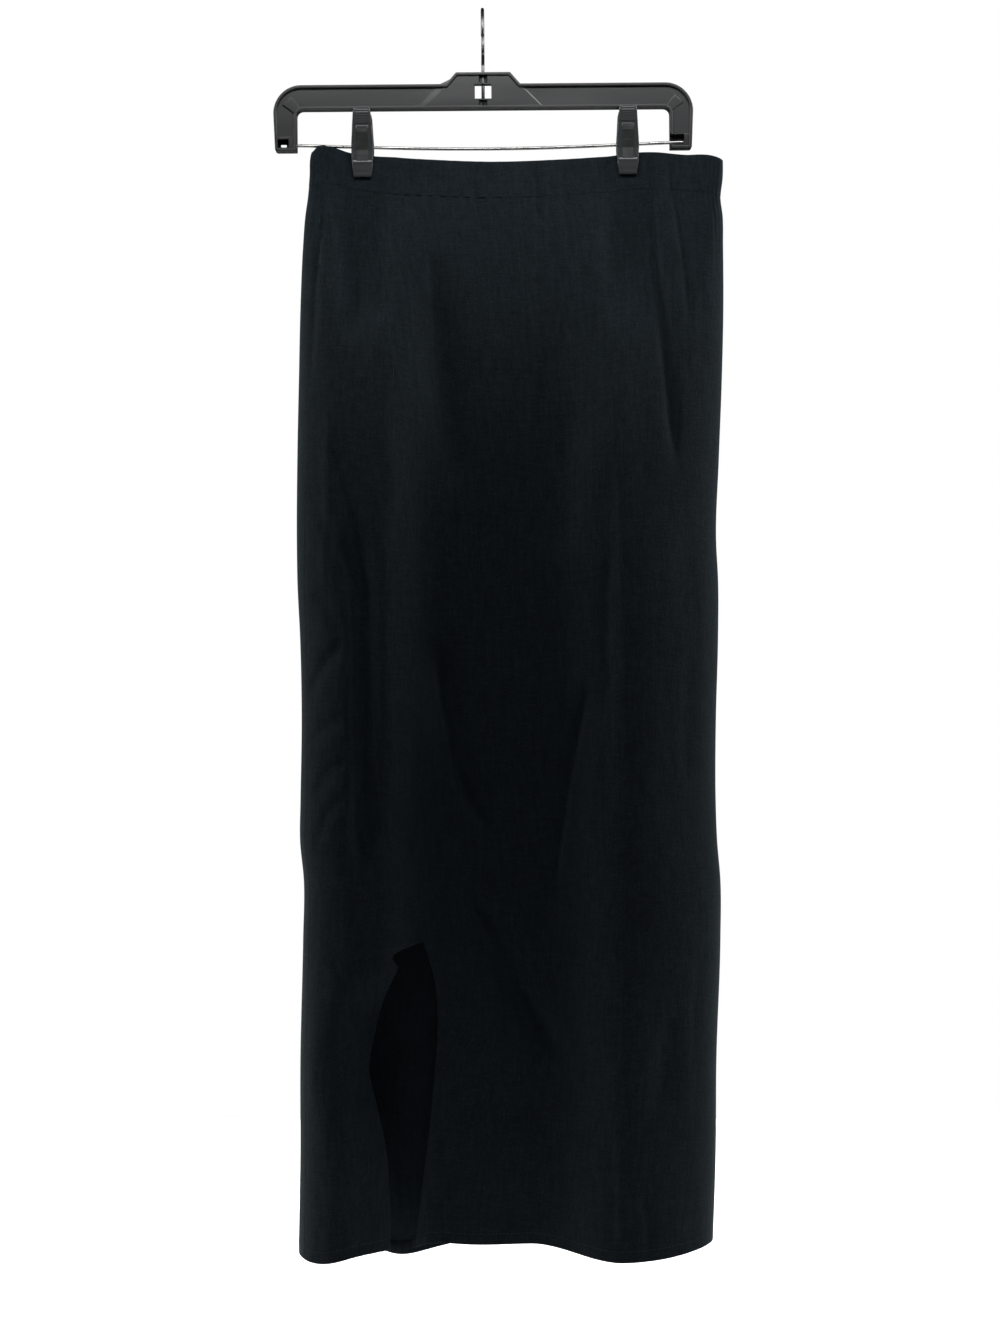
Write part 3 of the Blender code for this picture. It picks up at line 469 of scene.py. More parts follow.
class Socket:
    """A shader value that grows Math nodes as it is used in arithmetic."""

    def __init__(self, nodes, output):
        self.nodes = nodes
        self.output = output

    def math(self, operation, *values):
        return self.nodes.add("ShaderNodeMath", {"operation": operation}, dict(enumerate(values)))

    def __add__(self, other):
        return self.math("ADD", self, other)

    __radd__ = __add__

    def __mul__(self, other):
        return self.math("MULTIPLY", self, other)

    __rmul__ = __mul__

    def __sub__(self, other):
        return self.math("SUBTRACT", self, other)

    def __rsub__(self, other):
        return self.math("SUBTRACT", other, self)

    def __truediv__(self, other):
        return self.math("DIVIDE", self, other)

    def sine(self):
        return self.math("SINE", self)

    def between(self, low, high):
        """0 at low and 1 at high, easing at both."""
        sockets = {"Value": self, "From Min": low, "From Max": high}
        settings = {"interpolation_type": "SMOOTHSTEP"}
        return self.nodes.add("ShaderNodeMapRange", settings, sockets)


class Nodes:
    """The nodes of one material or world, each made by one call."""

    def __init__(self, owner):
        owner.use_nodes = True
        self.tree = owner.node_tree
        self.tree.nodes.clear()

    def add(self, kind, settings=None, sockets=None, out=0):
        node = self.tree.nodes.new(kind)
        for name, value in (settings or {}).items():
            setattr(node, name, value)
        for name, value in (sockets or {}).items():
            if isinstance(value, Socket):
                self.tree.links.new(value.output, node.inputs[name])
            else:
                node.inputs[name].default_value = value
        return Socket(self, node.outputs[out])

    def parts(self, vector):
        """The x, y and z of a vector."""
        split = self.add("ShaderNodeSeparateXYZ", sockets={"Vector": vector})
        return [Socket(self, output) for output in split.output.node.outputs]

    def vector(self, x, y, z=0.0):
        return self.add("ShaderNodeCombineXYZ", sockets={"X": x, "Y": y, "Z": z})

    def noise(self, vector, scale, detail=2.0, roughness=0.5):
        sockets = {"Vector": vector, "Scale": scale, "Detail": detail, "Roughness": roughness}
        return self.add("ShaderNodeTexNoise", sockets=sockets)

    def tint(self, colour, factor):
        """A colour scaled by a varying factor."""
        settings = {"operation": "SCALE"}
        sockets = {0: tuple(colour), "Scale": factor}
        return self.add("ShaderNodeVectorMath", settings, sockets)

    def bump(self, height, distance, strength=1.0):
        sockets = {"Height": height, "Distance": distance, "Strength": strength}
        return self.add("ShaderNodeBump", sockets=sockets)

    def end(self, kind, shader):
        self.tree.links.new(shader.output, self.tree.nodes.new(kind).inputs["Surface"])

    def surface(self, sockets):
        shader = self.add("ShaderNodeBsdfPrincipled", sockets=sockets)
        self.end("ShaderNodeOutputMaterial", shader)


def new_material(name):
    made = bpy.data.materials.new(name)
    return made, Nodes(made)


def cloth_material():
    """Matt black plain weave with thick and thin yarns both ways, like linen."""
    cloth = bpy.context.scene.skirt_cloth
    made, nodes = new_material("black_linen_weave")
    across, along, _ = nodes.parts(nodes.add("ShaderNodeUVMap", {"uv_map": "cut"}))

    def uneven(wide, long, detail=2.0, roughness=0.6):
        """Noise whose cells are this wide and long on the cloth, in metres."""
        return nodes.noise(nodes.vector(across / wide, along / long), 1.0, detail, roughness)

    warp, weft = uneven(0.0010, 0.010), uneven(0.009, 0.0010)
    grain = uneven(0.0018, 0.0022, roughness=0.65)
    streak, bar = uneven(0.0038, 0.026), uneven(0.022, 0.0034)
    cloud = uneven(0.07, 0.11, 3.0, 0.5)
    yarns = (across * (math.pi / cloth.yarn)).sine() * (along * (math.pi / cloth.yarn)).sine()
    slub = (warp.between(0.42, 0.72) + weft.between(0.42, 0.72)) * 0.5
    shade = 1.0 + (slub - 0.35) * cloth.slub + (grain - 0.5) * 1.3 + (cloud - 0.5) * 0.4
    shade = shade + (streak - 0.5) * 1.0 + (bar - 0.5) * 0.6
    height = slub * 0.6 + yarns * 0.22 + grain * 0.5
    nodes.surface(
        {
            "Base Color": nodes.tint(cloth.black, shade),
            "Roughness": 0.96 - slub * 0.12,
            "Normal": nodes.bump(height, 0.00022),
            "Specular IOR Level": 0.10,
            "Sheen Weight": cloth.nap,
            "Sheen Roughness": 0.45,
            "Sheen Tint": (0.74, 0.93, 1.0, 1.0),
        }
    )
    return made


def thread_material():
    cloth = bpy.context.scene.skirt_cloth
    made, nodes = new_material("black_sewing_thread")
    place = nodes.add("ShaderNodeTexCoord", out=3)
    twist = nodes.noise(place, 2600.0, 1.0)
    nodes.surface(
        {
            "Base Color": nodes.tint(cloth.thread_black, 0.75 + twist * 0.5),
            "Roughness": 0.62 + twist * 0.2,
            "Normal": nodes.bump(twist, 0.00008),
            "Specular IOR Level": 0.4,
        }
    )
    return made


def plastic_material(name, tone):
    """Moulded black plastic: a soft gloss, faint flow marks and handling scratches."""
    made, nodes = new_material(name)
    place = nodes.add("ShaderNodeTexCoord", out=3)
    x, y, z = nodes.parts(place)
    flow = nodes.noise(nodes.vector(x * 9.0, y * 60.0, z * 60.0), 1.0, 3.0)
    peel = nodes.noise(place, 900.0, 2.0)
    rub = nodes.noise(nodes.vector(x * 110.0, y * 700.0, z * 1500.0), 1.0, 3.0, 0.7)
    scratch = rub.between(0.66, 0.78)
    dust = nodes.noise(place, 1700.0, 1.0).between(0.74, 0.80)
    nodes.surface(
        {
            "Base Color": nodes.tint(tone, 0.85 + flow * 0.3 + scratch * 0.5 + dust * 1.2),
            "Roughness": 0.34 + (flow - 0.5) * 0.14 + scratch * 0.16 + dust * 0.2,
            "Normal": nodes.bump(peel * 0.5 + scratch * 0.25, 0.00007),
            "Specular IOR Level": 0.5,
        }
    )
    return made


def steel_material(name, tone, roughness):
    """Drawn steel with lines along the wire."""
    made, nodes = new_material(name)
    place = nodes.add("ShaderNodeTexCoord", out=3)
    x, y, z = nodes.parts(place)
    drawn = nodes.noise(nodes.vector(x * 40.0, y * 2600.0, z * 2600.0), 1.0, 2.0, 0.6)
    worn = nodes.noise(place, 120.0, 3.0)
    nodes.surface(
        {
            "Base Color": nodes.tint(tone, 0.78 + drawn * 0.26 + worn * 0.2),
            "Roughness": roughness + (drawn - 0.5) * 0.16 + (worn - 0.5) * 0.12,
            "Normal": nodes.bump(drawn, 0.00004),
            "Metallic": 1.0,
        }
    )
    return made


def smoothstep(t):
    t = np.clip(t, 0.0, 1.0)
    return t * t * (3.0 - 2.0 * t)


def eased(at, knots, values):
    """A smooth curve through the values, with the slopes of a cardinal spline."""
    knots = np.asarray(knots, float)
    values = np.asarray(values, float)
    slopes = np.gradient(values, knots)
    at = np.clip(at, knots[0], knots[-1])
    i = np.clip(np.searchsorted(knots, at) - 1, 0, len(knots) - 2)
    step = knots[i + 1] - knots[i]
    t = (at - knots[i]) / step
    return (
        values[i] * (1 + 2 * t) * (1 - t) ** 2
        + slopes[i] * step * t * (1 - t) ** 2
        + values[i + 1] * t * t * (3 - 2 * t)
        + slopes[i + 1] * step * t * t * (t - 1)
    )


def level(z, column):
    """A column of the section table at any height."""
    rows = SECTIONS[::-1]
    return eased(z, [row.z for row in rows], [getattr(row, column) for row in rows])


def line_z(line, x):
    return eased(x, [p.x for p in line], [p.z for p in line])


def edge_x(line, z):
    rows = line[::-1]
    return eased(z, [p.z for p in rows], [p.x for p in rows])


def stand_out(share, z, side, flanks):
    """How far a side stands out at a share of the half width, before its ends turn in."""
    (left_out, left_in), (right_in, right_out) = flanks
    to_left = smoothstep((left_in - share) / (left_in - left_out))
    to_right = smoothstep((share - right_in) / (right_out - right_in))
    left, mid, right = (level(z, f"{side}_{part}") for part in ("left", "mid", "right"))
    return mid + (left - mid) * to_left + (right - mid) * to_right


def held_flat(x, z):
    """1 where a clip presses the layers together, easing to 0 away from it."""
    hold = 0.0
    for clip_x in CLIP_X.values():
        hung_x = clip_x - JAW_END_Z * math.sin(HANGER_TILT)
        beside = 1.0 - smoothstep((np.abs(x - hung_x) - CLIP_HOLD) / CLIP_EASE)
        hold = np.maximum(hold, beside)
    return hold * smoothstep((z - EASE_END_Z) / (JAW_END_Z - EASE_END_Z))


def fold_depth(x, z, fold):
    """How far one fold presses the cloth in: deepest on its route and gone at both ends."""
    route = np.asarray(fold.route, float)
    steps = np.diff(route, axis=0)
    lengths = np.hypot(*steps.T)
    starts = np.concatenate([[0.0], np.cumsum(lengths)[:-1]]) / lengths.sum()
    nearest = np.full(np.shape(x), np.inf)
    along = np.zeros(np.shape(x))
    width = np.full(np.shape(x), float(fold.to_left))
    for start, step, length, begins in zip(route, steps, lengths, starts):
        t = ((x - start[0]) * step[0] + (z - start[1]) * step[1]) / length**2
        t = np.clip(t, 0.0, 1.0)
        away = np.hypot(x - start[0] - t * step[0], z - start[1] - t * step[1])
        on_right = step[0] * (z - start[1]) > step[1] * (x - start[0])
        closer = away < nearest
        nearest = np.where(closer, away, nearest)
        along = np.where(closer, begins + t * length / lengths.sum(), along)
        width = np.where(closer, np.where(on_right, fold.to_right, fold.to_left), width)
    fade = smoothstep(along / FOLD_FADE) * smoothstep((1.0 - along) / FOLD_FADE)
    return fold.depth * fade * np.exp(-((nearest / width) ** 2))


def cell_noise(angle, along, ripple):
    """Smooth noise round the skirt and along it, which meets itself all round."""
    cells = round(AROUND / ripple.across)
    lattice = np.random.default_rng(ripple.seed).uniform(-1.0, 1.0, (cells, LATTICE))
    u = angle / (2 * math.pi) * cells
    v = along / ripple.along
    i, j = np.floor(u).astype(int), np.floor(v).astype(int)
    s, t = smoothstep(u - i), smoothstep(v - j)
    low = lattice[i % cells, j % LATTICE] * (1 - s) + lattice[(i + 1) % cells, j % LATTICE] * s
    top = lattice[i % cells, (j + 1) % LATTICE] * (1 - s)
    top = top + lattice[(i + 1) % cells, (j + 1) % LATTICE] * s
    return low * (1 - t) + top * t


def seam_angles(ends, downs):
    return np.radians(ends[0] + (ends[1] - ends[0]) * smoothstep(downs * 2.0))


def unevenness(angle, down, x, z, panel_top):
    """Small ripples of the hung cloth, its gathers at the waistband and its puckered seams."""
    ripples = sum(ripple.height * cell_noise(angle, z, ripple) for ripple in RIPPLES)
    below = np.clip(panel_top - z, 0.0, None)
    drift = cell_noise(angle, z * DRIFT_STRETCH, GATHER_DRIFT)
    waves = np.sin(angle * AROUND / GATHER_PITCH + GATHER_WANDER * drift)
    usual, varies = GATHER_STRENGTH
    gathers = GATHER_HEIGHT * waves * (usual + varies * drift) * np.exp(-below / GATHER_LENGTH)
    above = np.clip(-down, 0.0, 1.0) * BAND_DEPTH
    kept, fading = BAND_GATHER
    gathers = gathers * (kept + fading * np.exp(-above / BAND_GATHER_FADE))
    drawn = np.sin(z * 2 * math.pi / SEAM_PUCKER_PITCH + SEAM_PUCKER_WANDER * drift)
    away = np.abs(x - edge_x(SLIT_SEAM, z)) + np.where(np.cos(angle) > 0, 0.0, AROUND)
    for ends in (LEFT_SEAM_ANGLES, RIGHT_SEAM_ANGLES):
        turn = np.remainder(angle - seam_angles(ends, down) + math.pi, 2 * math.pi) - math.pi
        away = np.minimum(away, np.abs(turn) * AROUND / (2 * math.pi))
    puckers = SEAM_PUCKER * drawn * np.exp(-((away / SEAM_PUCKER_REACH) ** 2))
    return ripples + gathers + puckers


def skirt_surface(angle, down):
    """The middle of the cloth at an angle round the skirt and a share of the way down the panels.

    Shares below 0 run up the waistband, to -1 at its top edge.
    """
    share = np.sin(angle)
    facing = np.cos(angle)
    left, right = level(BAND_SEAM_Z, "left"), level(BAND_SEAM_Z, "right")
    rough_x = (left + right) / 2 + (right - left) / 2 * share
    band_top = np.where(
        facing > 0, line_z(WAIST_FRONT_LINE, rough_x), line_z(WAIST_BACK_LINE, rough_x)
    )
    panel_top = line_z(BAND_SEAM_LINE, rough_x)
    hem = line_z(HEM_LINE, rough_x)
    sag = BACK_HEM_SAG * np.exp(-(((rough_x - BACK_HEM_SAG_X) / BACK_HEM_SAG_REACH) ** 2))
    hem = hem - np.where(facing > 0, 0.0, sag)
    z = np.where(
        down < 0,
        panel_top - down * (band_top - panel_top),
        panel_top + down * (hem - panel_top),
    )
    left, right = level(z, "left"), level(z, "right")
    half = (right - left) / 2
    x = (left + right) / 2 + half * share
    rounding = np.where(share < 0, level(z, "round_left"), level(z, "round_right"))
    inside = np.clip(half * (1.0 - np.abs(share)) / rounding, 0.0, 1.0)
    turn_in = np.sqrt(1.0 - (1.0 - inside) ** 2)
    front = stand_out(share, z, "front", FRONT_FLANKS)
    back = stand_out(share, z, "back", BACK_FLANKS)
    hold = held_flat(x, z)
    depth = np.where(facing > 0, front, back)
    for fold in FOLDS + CREASES:
        on_side = facing > 0 if fold.side == "front" else facing <= 0
        depth = depth - np.where(on_side, fold_depth(x, z, fold) * (1.0 - hold), 0.0)
    depth = depth + unevenness(angle, down, x, z, panel_top) * (1.0 - hold)
    depth = LAYER_HALF_GAP + (depth - LAYER_HALF_GAP) * (1.0 - hold)
    y = np.where(facing > 0, -1.0, 1.0) * depth * turn_in
    return np.stack([x, y, z], axis=-1)


def curled_flap(angle, down):
    """The narrow front panel, whose free edge at the slit rolls back under the skirt."""
    points = skirt_surface(angle, down)
    x, z = points[..., 0], points[..., 2]
    from_edge = np.where(z < SLIT_TOP_Z, edge_x(SLIT_LEFT_EDGE, z) - x, FLAP_CURL_WIDTH)
    near = 1.0 - np.clip(from_edge / FLAP_CURL_WIDTH, 0.0, 1.0)
    opened = smoothstep((SLIT_TOP_Z - z) / FLAP_CURL_LENGTH)
    points[..., 1] += FLAP_CURL * smoothstep(near) * opened
    return points


def angle_at(x, z):
    """The angle round the front at which the skirt passes a given x."""
    left, right = level(z, "left"), level(z, "right")
    return np.arcsin(np.clip((x - (left + right) / 2) / ((right - left) / 2), -1.0, 1.0))


def slit_edge(edge, downs):
    """The angle of the long seam above the slit, and of one of its edges below."""
    z = skirt_surface(np.full(downs.shape, SLIT_ANGLE), downs)[:, 2]
    x = np.where(z > SLIT_TOP_Z, edge_x(SLIT_SEAM, z), edge_x(edge, z))
    return angle_at(x, z)


def left_seam(downs):
    return seam_angles(LEFT_SEAM_ANGLES, downs)


def left_seam_behind(downs):
    return left_seam(downs) + 2 * math.pi


def right_seam(downs):
    return seam_angles(RIGHT_SEAM_ANGLES, downs)


def slit_left(downs):
    return slit_edge(SLIT_LEFT_EDGE, downs)


def slit_right(downs):
    return slit_edge(SLIT_RIGHT_EDGE, downs)


def per_angle(angles, downs):
    """Millimetres of cloth round the skirt for each radian."""
    step = SLOPE_STEP
    across = skirt_surface(angles + step, downs) - skirt_surface(angles - step, downs)
    return np.linalg.norm(across, axis=-1) / (2 * step)


def with_normals(surface, angles, downs):
    """Points on the cloth's middle, and the directions out of it."""
    step = SLOPE_STEP
    across = surface(angles + step, downs) - surface(angles - step, downs)
    along = surface(angles, downs + step) - surface(angles, downs - step)
    outward = np.cross(along, across)
    outward /= np.linalg.norm(outward, axis=-1, keepdims=True)
    return surface(angles, downs), outward


def turned_edge(depth, radius):
    """How far back from a folded edge, and how far in, each line of its turning lies."""
    bend = [
        (radius * (1 - math.sin(a)), radius * (1 - math.cos(a)))
        for a in np.linspace(0.0, math.pi, TURN_STEPS + 1)
    ]
    return np.array([(radius + EDGE_ROW, 0.0), *bend, (depth / 2, 2 * radius), (depth, 2 * radius)])


def grid_object(name, points, wrap=(False, False)):
    """A mesh over a grid of points in millimetres, with its cut in metres as the UV map."""
    rows, columns = points.shape[:2]
    row, column = np.meshgrid(
        np.arange(rows if wrap[0] else rows - 1),
        np.arange(columns if wrap[1] else columns - 1),
        indexing="ij",
    )
    below, beside = (row + 1) % rows, (column + 1) % columns
    corners = [(row, column), (below, column), (below, beside), (row, beside)]
    faces = np.stack([i * columns + j for i, j in corners], axis=-1).reshape(-1, 4)
    mesh = bpy.data.meshes.new(name)
    mesh.from_pydata((points * MM).reshape(-1, 3), [], faces)
    across = np.linalg.norm(np.diff(points, axis=1), axis=-1).cumsum(axis=1)
    along = np.linalg.norm(np.diff(points, axis=0), axis=-1).cumsum(axis=0)
    u = np.pad(across, ((0, 0), (1, 0))) - across[:, columns // 2, None]
    v = np.pad(along, ((1, 0), (0, 0)))
    cut = np.stack([u, v], axis=-1).reshape(-1, 2) * MM
    layer = mesh.uv_layers.new(name="cut")
    layer.data.foreach_set("uv", cut[faces.ravel()].ravel())
    mesh.shade_smooth()
    obj = bpy.data.objects.new(name, mesh)
    bpy.context.collection.objects.link(obj)
    return obj


def dress(obj, material, slot, *nodes):
    """Gives a piece its finish and lets it stand for the solids of its nodes."""
    obj.data.materials.append(material)
    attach(obj, "root")
    if nodes:
        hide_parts(*nodes)
    return obj


def thicken(sheet):
    """Gives a sheet its thickness, on its inner side."""
    layer = sheet.modifiers.new("thickness", "SOLIDIFY")
    layer.thickness = bpy.context.scene.skirt_cloth.thickness
    layer.offset = -1.0


def panel_downs():
    """Shares down a panel, closer together where the slit opens."""
    top, hem = skirt_surface(np.full(2, SLIT_ANGLE), np.array([0.0, 1.0]))[:, 2]
    slit = (top - SLIT_TOP_Z) / (top - hem)
    close = slit + np.linspace(*SLIT_ROWS_REACH, SLIT_ROWS) / PANEL_LENGTH
    first, last = PANEL_FIRST_ROW / PANEL_LENGTH, 1.0 - TURN_RADIUS / PANEL_LENGTH
    downs = np.linspace(first, last, PANEL_ROWS, endpoint=False)
    downs = downs[(downs < close[0]) | (downs > close[-1])]
    return np.sort(np.concatenate([downs, close]))


def build_sheet(name, surface, edges):
    """One panel: its face, its hem turned up inside, and its turned seam edges."""
    hem = turned_edge(HEM_TURN, TURN_RADIUS)
    seam = turned_edge(SEAM_TURN, SEAM_RADIUS)
    tuck = np.array(TUCK)
    face = panel_downs()
    downs = np.concatenate([tuck[:, 0] / PANEL_LENGTH, face, 1.0 - hem[:, 0] / PANEL_LENGTH])
    row_inset = np.concatenate([tuck[:, 1], np.zeros(len(face)), hem[:, 1]])
    start, end = (np.interp(downs, face, edge(face)) for edge in edges)
    sides = []
    for angle, sign in ((start, 1.0), (end, -1.0)):
        spread = per_angle(angle, np.clip(downs, 0.0, 1.0))
        sides.append(angle[:, None] + sign * seam[:, 0] / spread[:, None])
    left, right = sides
    shares = np.linspace(0.0, 1.0, COLUMNS[name] + 2)[1:-1]
    middle = left[:, :1] + (right[:, :1] - left[:, :1]) * shares
    angles = np.concatenate([left[:, ::-1], middle, right], axis=1)
    column_inset = np.concatenate([seam[::-1, 1], np.zeros(len(shares)), seam[:, 1]])
    points, outward = with_normals(surface, angles, np.repeat(downs[:, None], angles.shape[1], 1))
    lift = PANEL_FACE - row_inset[:, None] - column_inset
    obj = grid_object(name, points + outward * lift[..., None])
    thicken(obj)
    return obj


def build_panels():
    cloth = cloth_material()
    side = build_sheet("front_side_cloth", curled_flap, (left_seam, slit_left))
    main = build_sheet("front_main_cloth", skirt_surface, (slit_right, right_seam))
    back = build_sheet("back_cloth", skirt_surface, (right_seam, left_seam_behind))
    dress(side, cloth, "black_cloth", "front_side_panel")
    dress(main, cloth, "black_cloth", "front_main_panel")
    dress(back, cloth, "black_cloth", "back_panel")


def build_waistband():
    """One band all round, folded over at the top, with its lower edge over the panels."""
    bend = np.linspace(0.0, math.pi, BAND_BEND_POINTS)[1:-1]
    upward = np.linspace(BAND_SECOND_ROW, -1.0, BAND_ROWS)
    face = np.concatenate([[0.0, -EDGE_ROW / BAND_DEPTH], upward])
    top = -1.0 - np.sin(bend) * BAND_FACE / BAND_DEPTH
    downs = np.concatenate([face, top, face[::-1]])
    rows = np.ones(len(face))
    lift = np.concatenate([rows, np.cos(bend), -rows]) * BAND_FACE
    around = np.linspace(0.0, 2 * math.pi, BAND_COLUMNS, endpoint=False)
    angles, downs = np.meshgrid(around, downs)
    points, outward = with_normals(skirt_surface, angles, downs)
    points = (points + outward * lift[:, None, None])[::-1]
    band = grid_object("waistband_cloth", points, wrap=(False, True))
    thicken(band)
    dress(band, cloth_material(), "black_cloth", "waistband")


def add_tube(bm, rings):
    """A closed tube through rings of points."""
    loops = [[bm.verts.new(point) for point in ring] for ring in rings]
    count = len(loops[0])
    for near, far in zip(loops, loops[1:]):
        for i in range(count):
            j = (i + 1) % count
            bm.faces.new((near[i], near[j], far[j], far[i]))
    bm.faces.new(loops[0][::-1])
    bm.faces.new(loops[-1])


def hem_stitches(bm, surface, edges):
    """Running stitches along a panel's hem, dipping into the cloth at their ends."""
    radius = bpy.context.scene.skirt_cloth.thread / 2 / MM
    down = 1.0 - HEM_STITCH_UP / PANEL_LENGTH
    start, end = (float(edge(np.array([down]))[0]) for edge in edges)
    angles = np.linspace(start, end, STITCH_PATH_POINTS)
    points, outward = with_normals(surface, angles, np.full(angles.shape, down))
    run = np.concatenate([[0.0], np.linalg.norm(np.diff(points, axis=0), axis=-1).cumsum()])
    first = np.arange(STITCH_PITCH, run[-1] - 2 * STITCH_PITCH, STITCH_PITCH)
    turns = np.linspace(0.0, 2 * math.pi, STITCH_SIDES, endpoint=False)
    for begin in first:
        rings = []
        for share, lift, swell in STITCH_RINGS:
            at = begin + share * STITCH_LENGTH
            centre = np.array([np.interp(at, run, points[:, k]) for k in range(3)])
            normal = np.array([np.interp(at, run, outward[:, k]) for k in range(3)])
            up = np.array([0.0, 0.0, 1.0])
            centre = centre + normal * (PANEL_FACE + lift)
            rings.append(
                [
                    (centre + (normal * math.cos(a) + up * math.sin(a)) * radius * swell) * MM
                    for a in turns
                ]
            )
        add_tube(bm, rings)


def build_stitches():
    bm = bmesh.new()
    hem_stitches(bm, curled_flap, (left_seam, slit_left))
    hem_stitches(bm, skirt_surface, (slit_right, right_seam))
    hem_stitches(bm, skirt_surface, (right_seam, left_seam_behind))
    stitches = mesh_object("hem_stitches", bm)
    dress(stitches, thread_material(), "black_cloth")


def mesh_object(name, bm, sharp_angle=30):
    """An object from a bmesh, smooth but for its sharp edges."""
    bmesh.ops.recalc_face_normals(bm, faces=bm.faces)
    mesh = bpy.data.meshes.new(name)
    bm.to_mesh(mesh)
    bm.free()
    mesh.shade_smooth()
    mesh.set_sharp_from_angle(angle=math.radians(sharp_angle))
    obj = bpy.data.objects.new(name, mesh)
    bpy.context.collection.objects.link(obj)
    return obj


def hung_on_hanger(point, drop=0.0):
    """A point of the hanger's drawing, in millimetres, where it hangs in metres."""
    x, y, z = point[0], point[1], point[2] + drop
    lean = -HANGER_TILT
    return (
        (x * math.cos(lean) + z * math.sin(lean)) * MM,
        y * MM,
        (z * math.cos(lean) - x * math.sin(lean)) * MM,
    )


def arc(centre, radius, start, end, steps):
    """Points on an arc, with angles in degrees from +X towards +Z."""
    angles = [math.radians(start + (end - start) * i / steps) for i in range(steps + 1)]
    return [(centre[0] + radius * math.cos(a), centre[1] + radius * math.sin(a)) for a in angles]


def frame_outline(inset):
    """The frame's outline, drawn in by an inset."""
    outer_x = FRAME_HALF_WIDTH - inset
    inner_x = FRAME_HALF_WIDTH - LEG_WIDTH + inset
    foot_x = outer_x - LEG_TAPER
    top, bottom, foot = BAR_TOP_Z - inset, BAR_BOTTOM_Z + inset, LEG_BOTTOM_Z + inset
    shoulder, hollow = OUTER_RADIUS - inset, INNER_RADIUS + inset
    toe = max(LEG_FOOT_RADIUS - inset, 0.4)
    rise, run = BLOCK_TOP_Z - BAR_TOP_Z, BLOCK_BASE_HALF - BLOCK_TOP_HALF
    slope = math.hypot(rise, run)
    shift = inset * (slope - run) / rise
    right = [
        (BLOCK_TOP_HALF - shift, BLOCK_TOP_Z - inset),
        (BLOCK_BASE_HALF - shift, top),
        *arc((outer_x - shoulder, top - shoulder), shoulder, 90, 0, 20),
        *arc((foot_x - toe, foot + toe), toe, 0, -90, 5),
        (inner_x, foot),
        *arc((inner_x - hollow, bottom - hollow), hollow, 0, 90, 10),
    ]
    return right + [(-x, z) for x, z in reversed(right)]


def add_rings(bm, rings, closed=False):
    """Faces through rings of points on the hanger, capped or closed on themselves."""
    loops = [[bm.verts.new(hung_on_hanger(point)) for point in ring] for ring in rings]
    count = len(loops[0])
    pairs = list(zip(loops, loops[1:]))
    if closed:
        pairs.append((loops[-1], loops[0]))
    for near, far in pairs:
        for i in range(count):
            j = (i + 1) % count
            bm.faces.new((near[i], near[j], far[j], far[i]))
    if not closed:
        bm.faces.new(loops[0][::-1])
        bm.faces.new(loops[-1])


def drawn_in(outline, distance):
    """A convex outline with each side moved in by a distance."""
    corners = np.array(outline, float)
    along = np.roll(corners, -1, axis=0) - corners
    along /= np.linalg.norm(along, axis=1, keepdims=True)
    area = np.sum(corners[:, 0] * np.roll(corners[:, 1], -1))
    area -= np.sum(np.roll(corners[:, 0], -1) * corners[:, 1])
    inward = np.stack([-along[:, 1], along[:, 0]], axis=1) * np.sign(area)
    before, at = np.roll(inward, 1, axis=0), inward
    half = before + at
    return corners + half * distance / (1.0 + np.sum(before * at, axis=1))[:, None]


def add_plate(bm, outline, face, low_y, high_y, spread=None):
    """A raised plate on one face of the web, with rounded edges and, given one, a wider foot."""
    edge = bpy.context.scene.skirt_hanger.edge_round / MM
    rings = [[(x, face * low_y, z) for x, z in (spread or outline)]]
    for angle in EDGE_TURNS:
        turn = math.radians(angle)
        ring = drawn_in(outline, edge * (1.0 - math.cos(turn)))
        y = high_y - edge * (1.0 - math.sin(turn))
        rings.append([(x, face * y, z) for x, z in ring])
    add_rings(bm, rings)


def box_outline(x0, x1, z0, z1):
    return [(x0, z0), (x1, z0), (x1, z1), (x0, z1)]


def add_cutter_box(bm, box, near_y, far_y):
    outline = box_outline(*box)
    add_rings(bm, [[(x, y, z) for x, z in outline] for y in (near_y, far_y)])


def crisp(obj, sharp_angle):
    """Keeps flat faces flat beside rounded edges."""
    obj.data.shade_smooth()
    obj.data.set_sharp_from_angle(angle=math.radians(sharp_angle))
    normals = obj.modifiers.new("flat_faces", "WEIGHTED_NORMAL")
    normals.keep_sharp = True


def cut_away(obj, cutters):
    """Cuts closed shapes out of a closed piece, and keeps the result as its mesh."""
    tool = mesh_object("cutter", cutters)
    modifier = obj.modifiers.new("cut", "BOOLEAN")
    modifier.object = tool
    modifier.solver = "EXACT"
    bpy.context.view_layer.update()
    evaluated = obj.evaluated_get(bpy.context.evaluated_depsgraph_get())
    result = bpy.data.meshes.new_from_object(evaluated)
    obj.modifiers.clear()
    obj.data = result
    bpy.data.objects.remove(tool)


def join_pieces(name, pieces):
    """Joins pieces into the first, under one name."""
    bpy.ops.object.select_all(action="DESELECT")
    for piece in pieces:
        piece.select_set(True)
    bpy.context.view_layer.objects.active = pieces[0]
    bpy.ops.object.join()
    pieces[0].name = name
    return pieces[0]


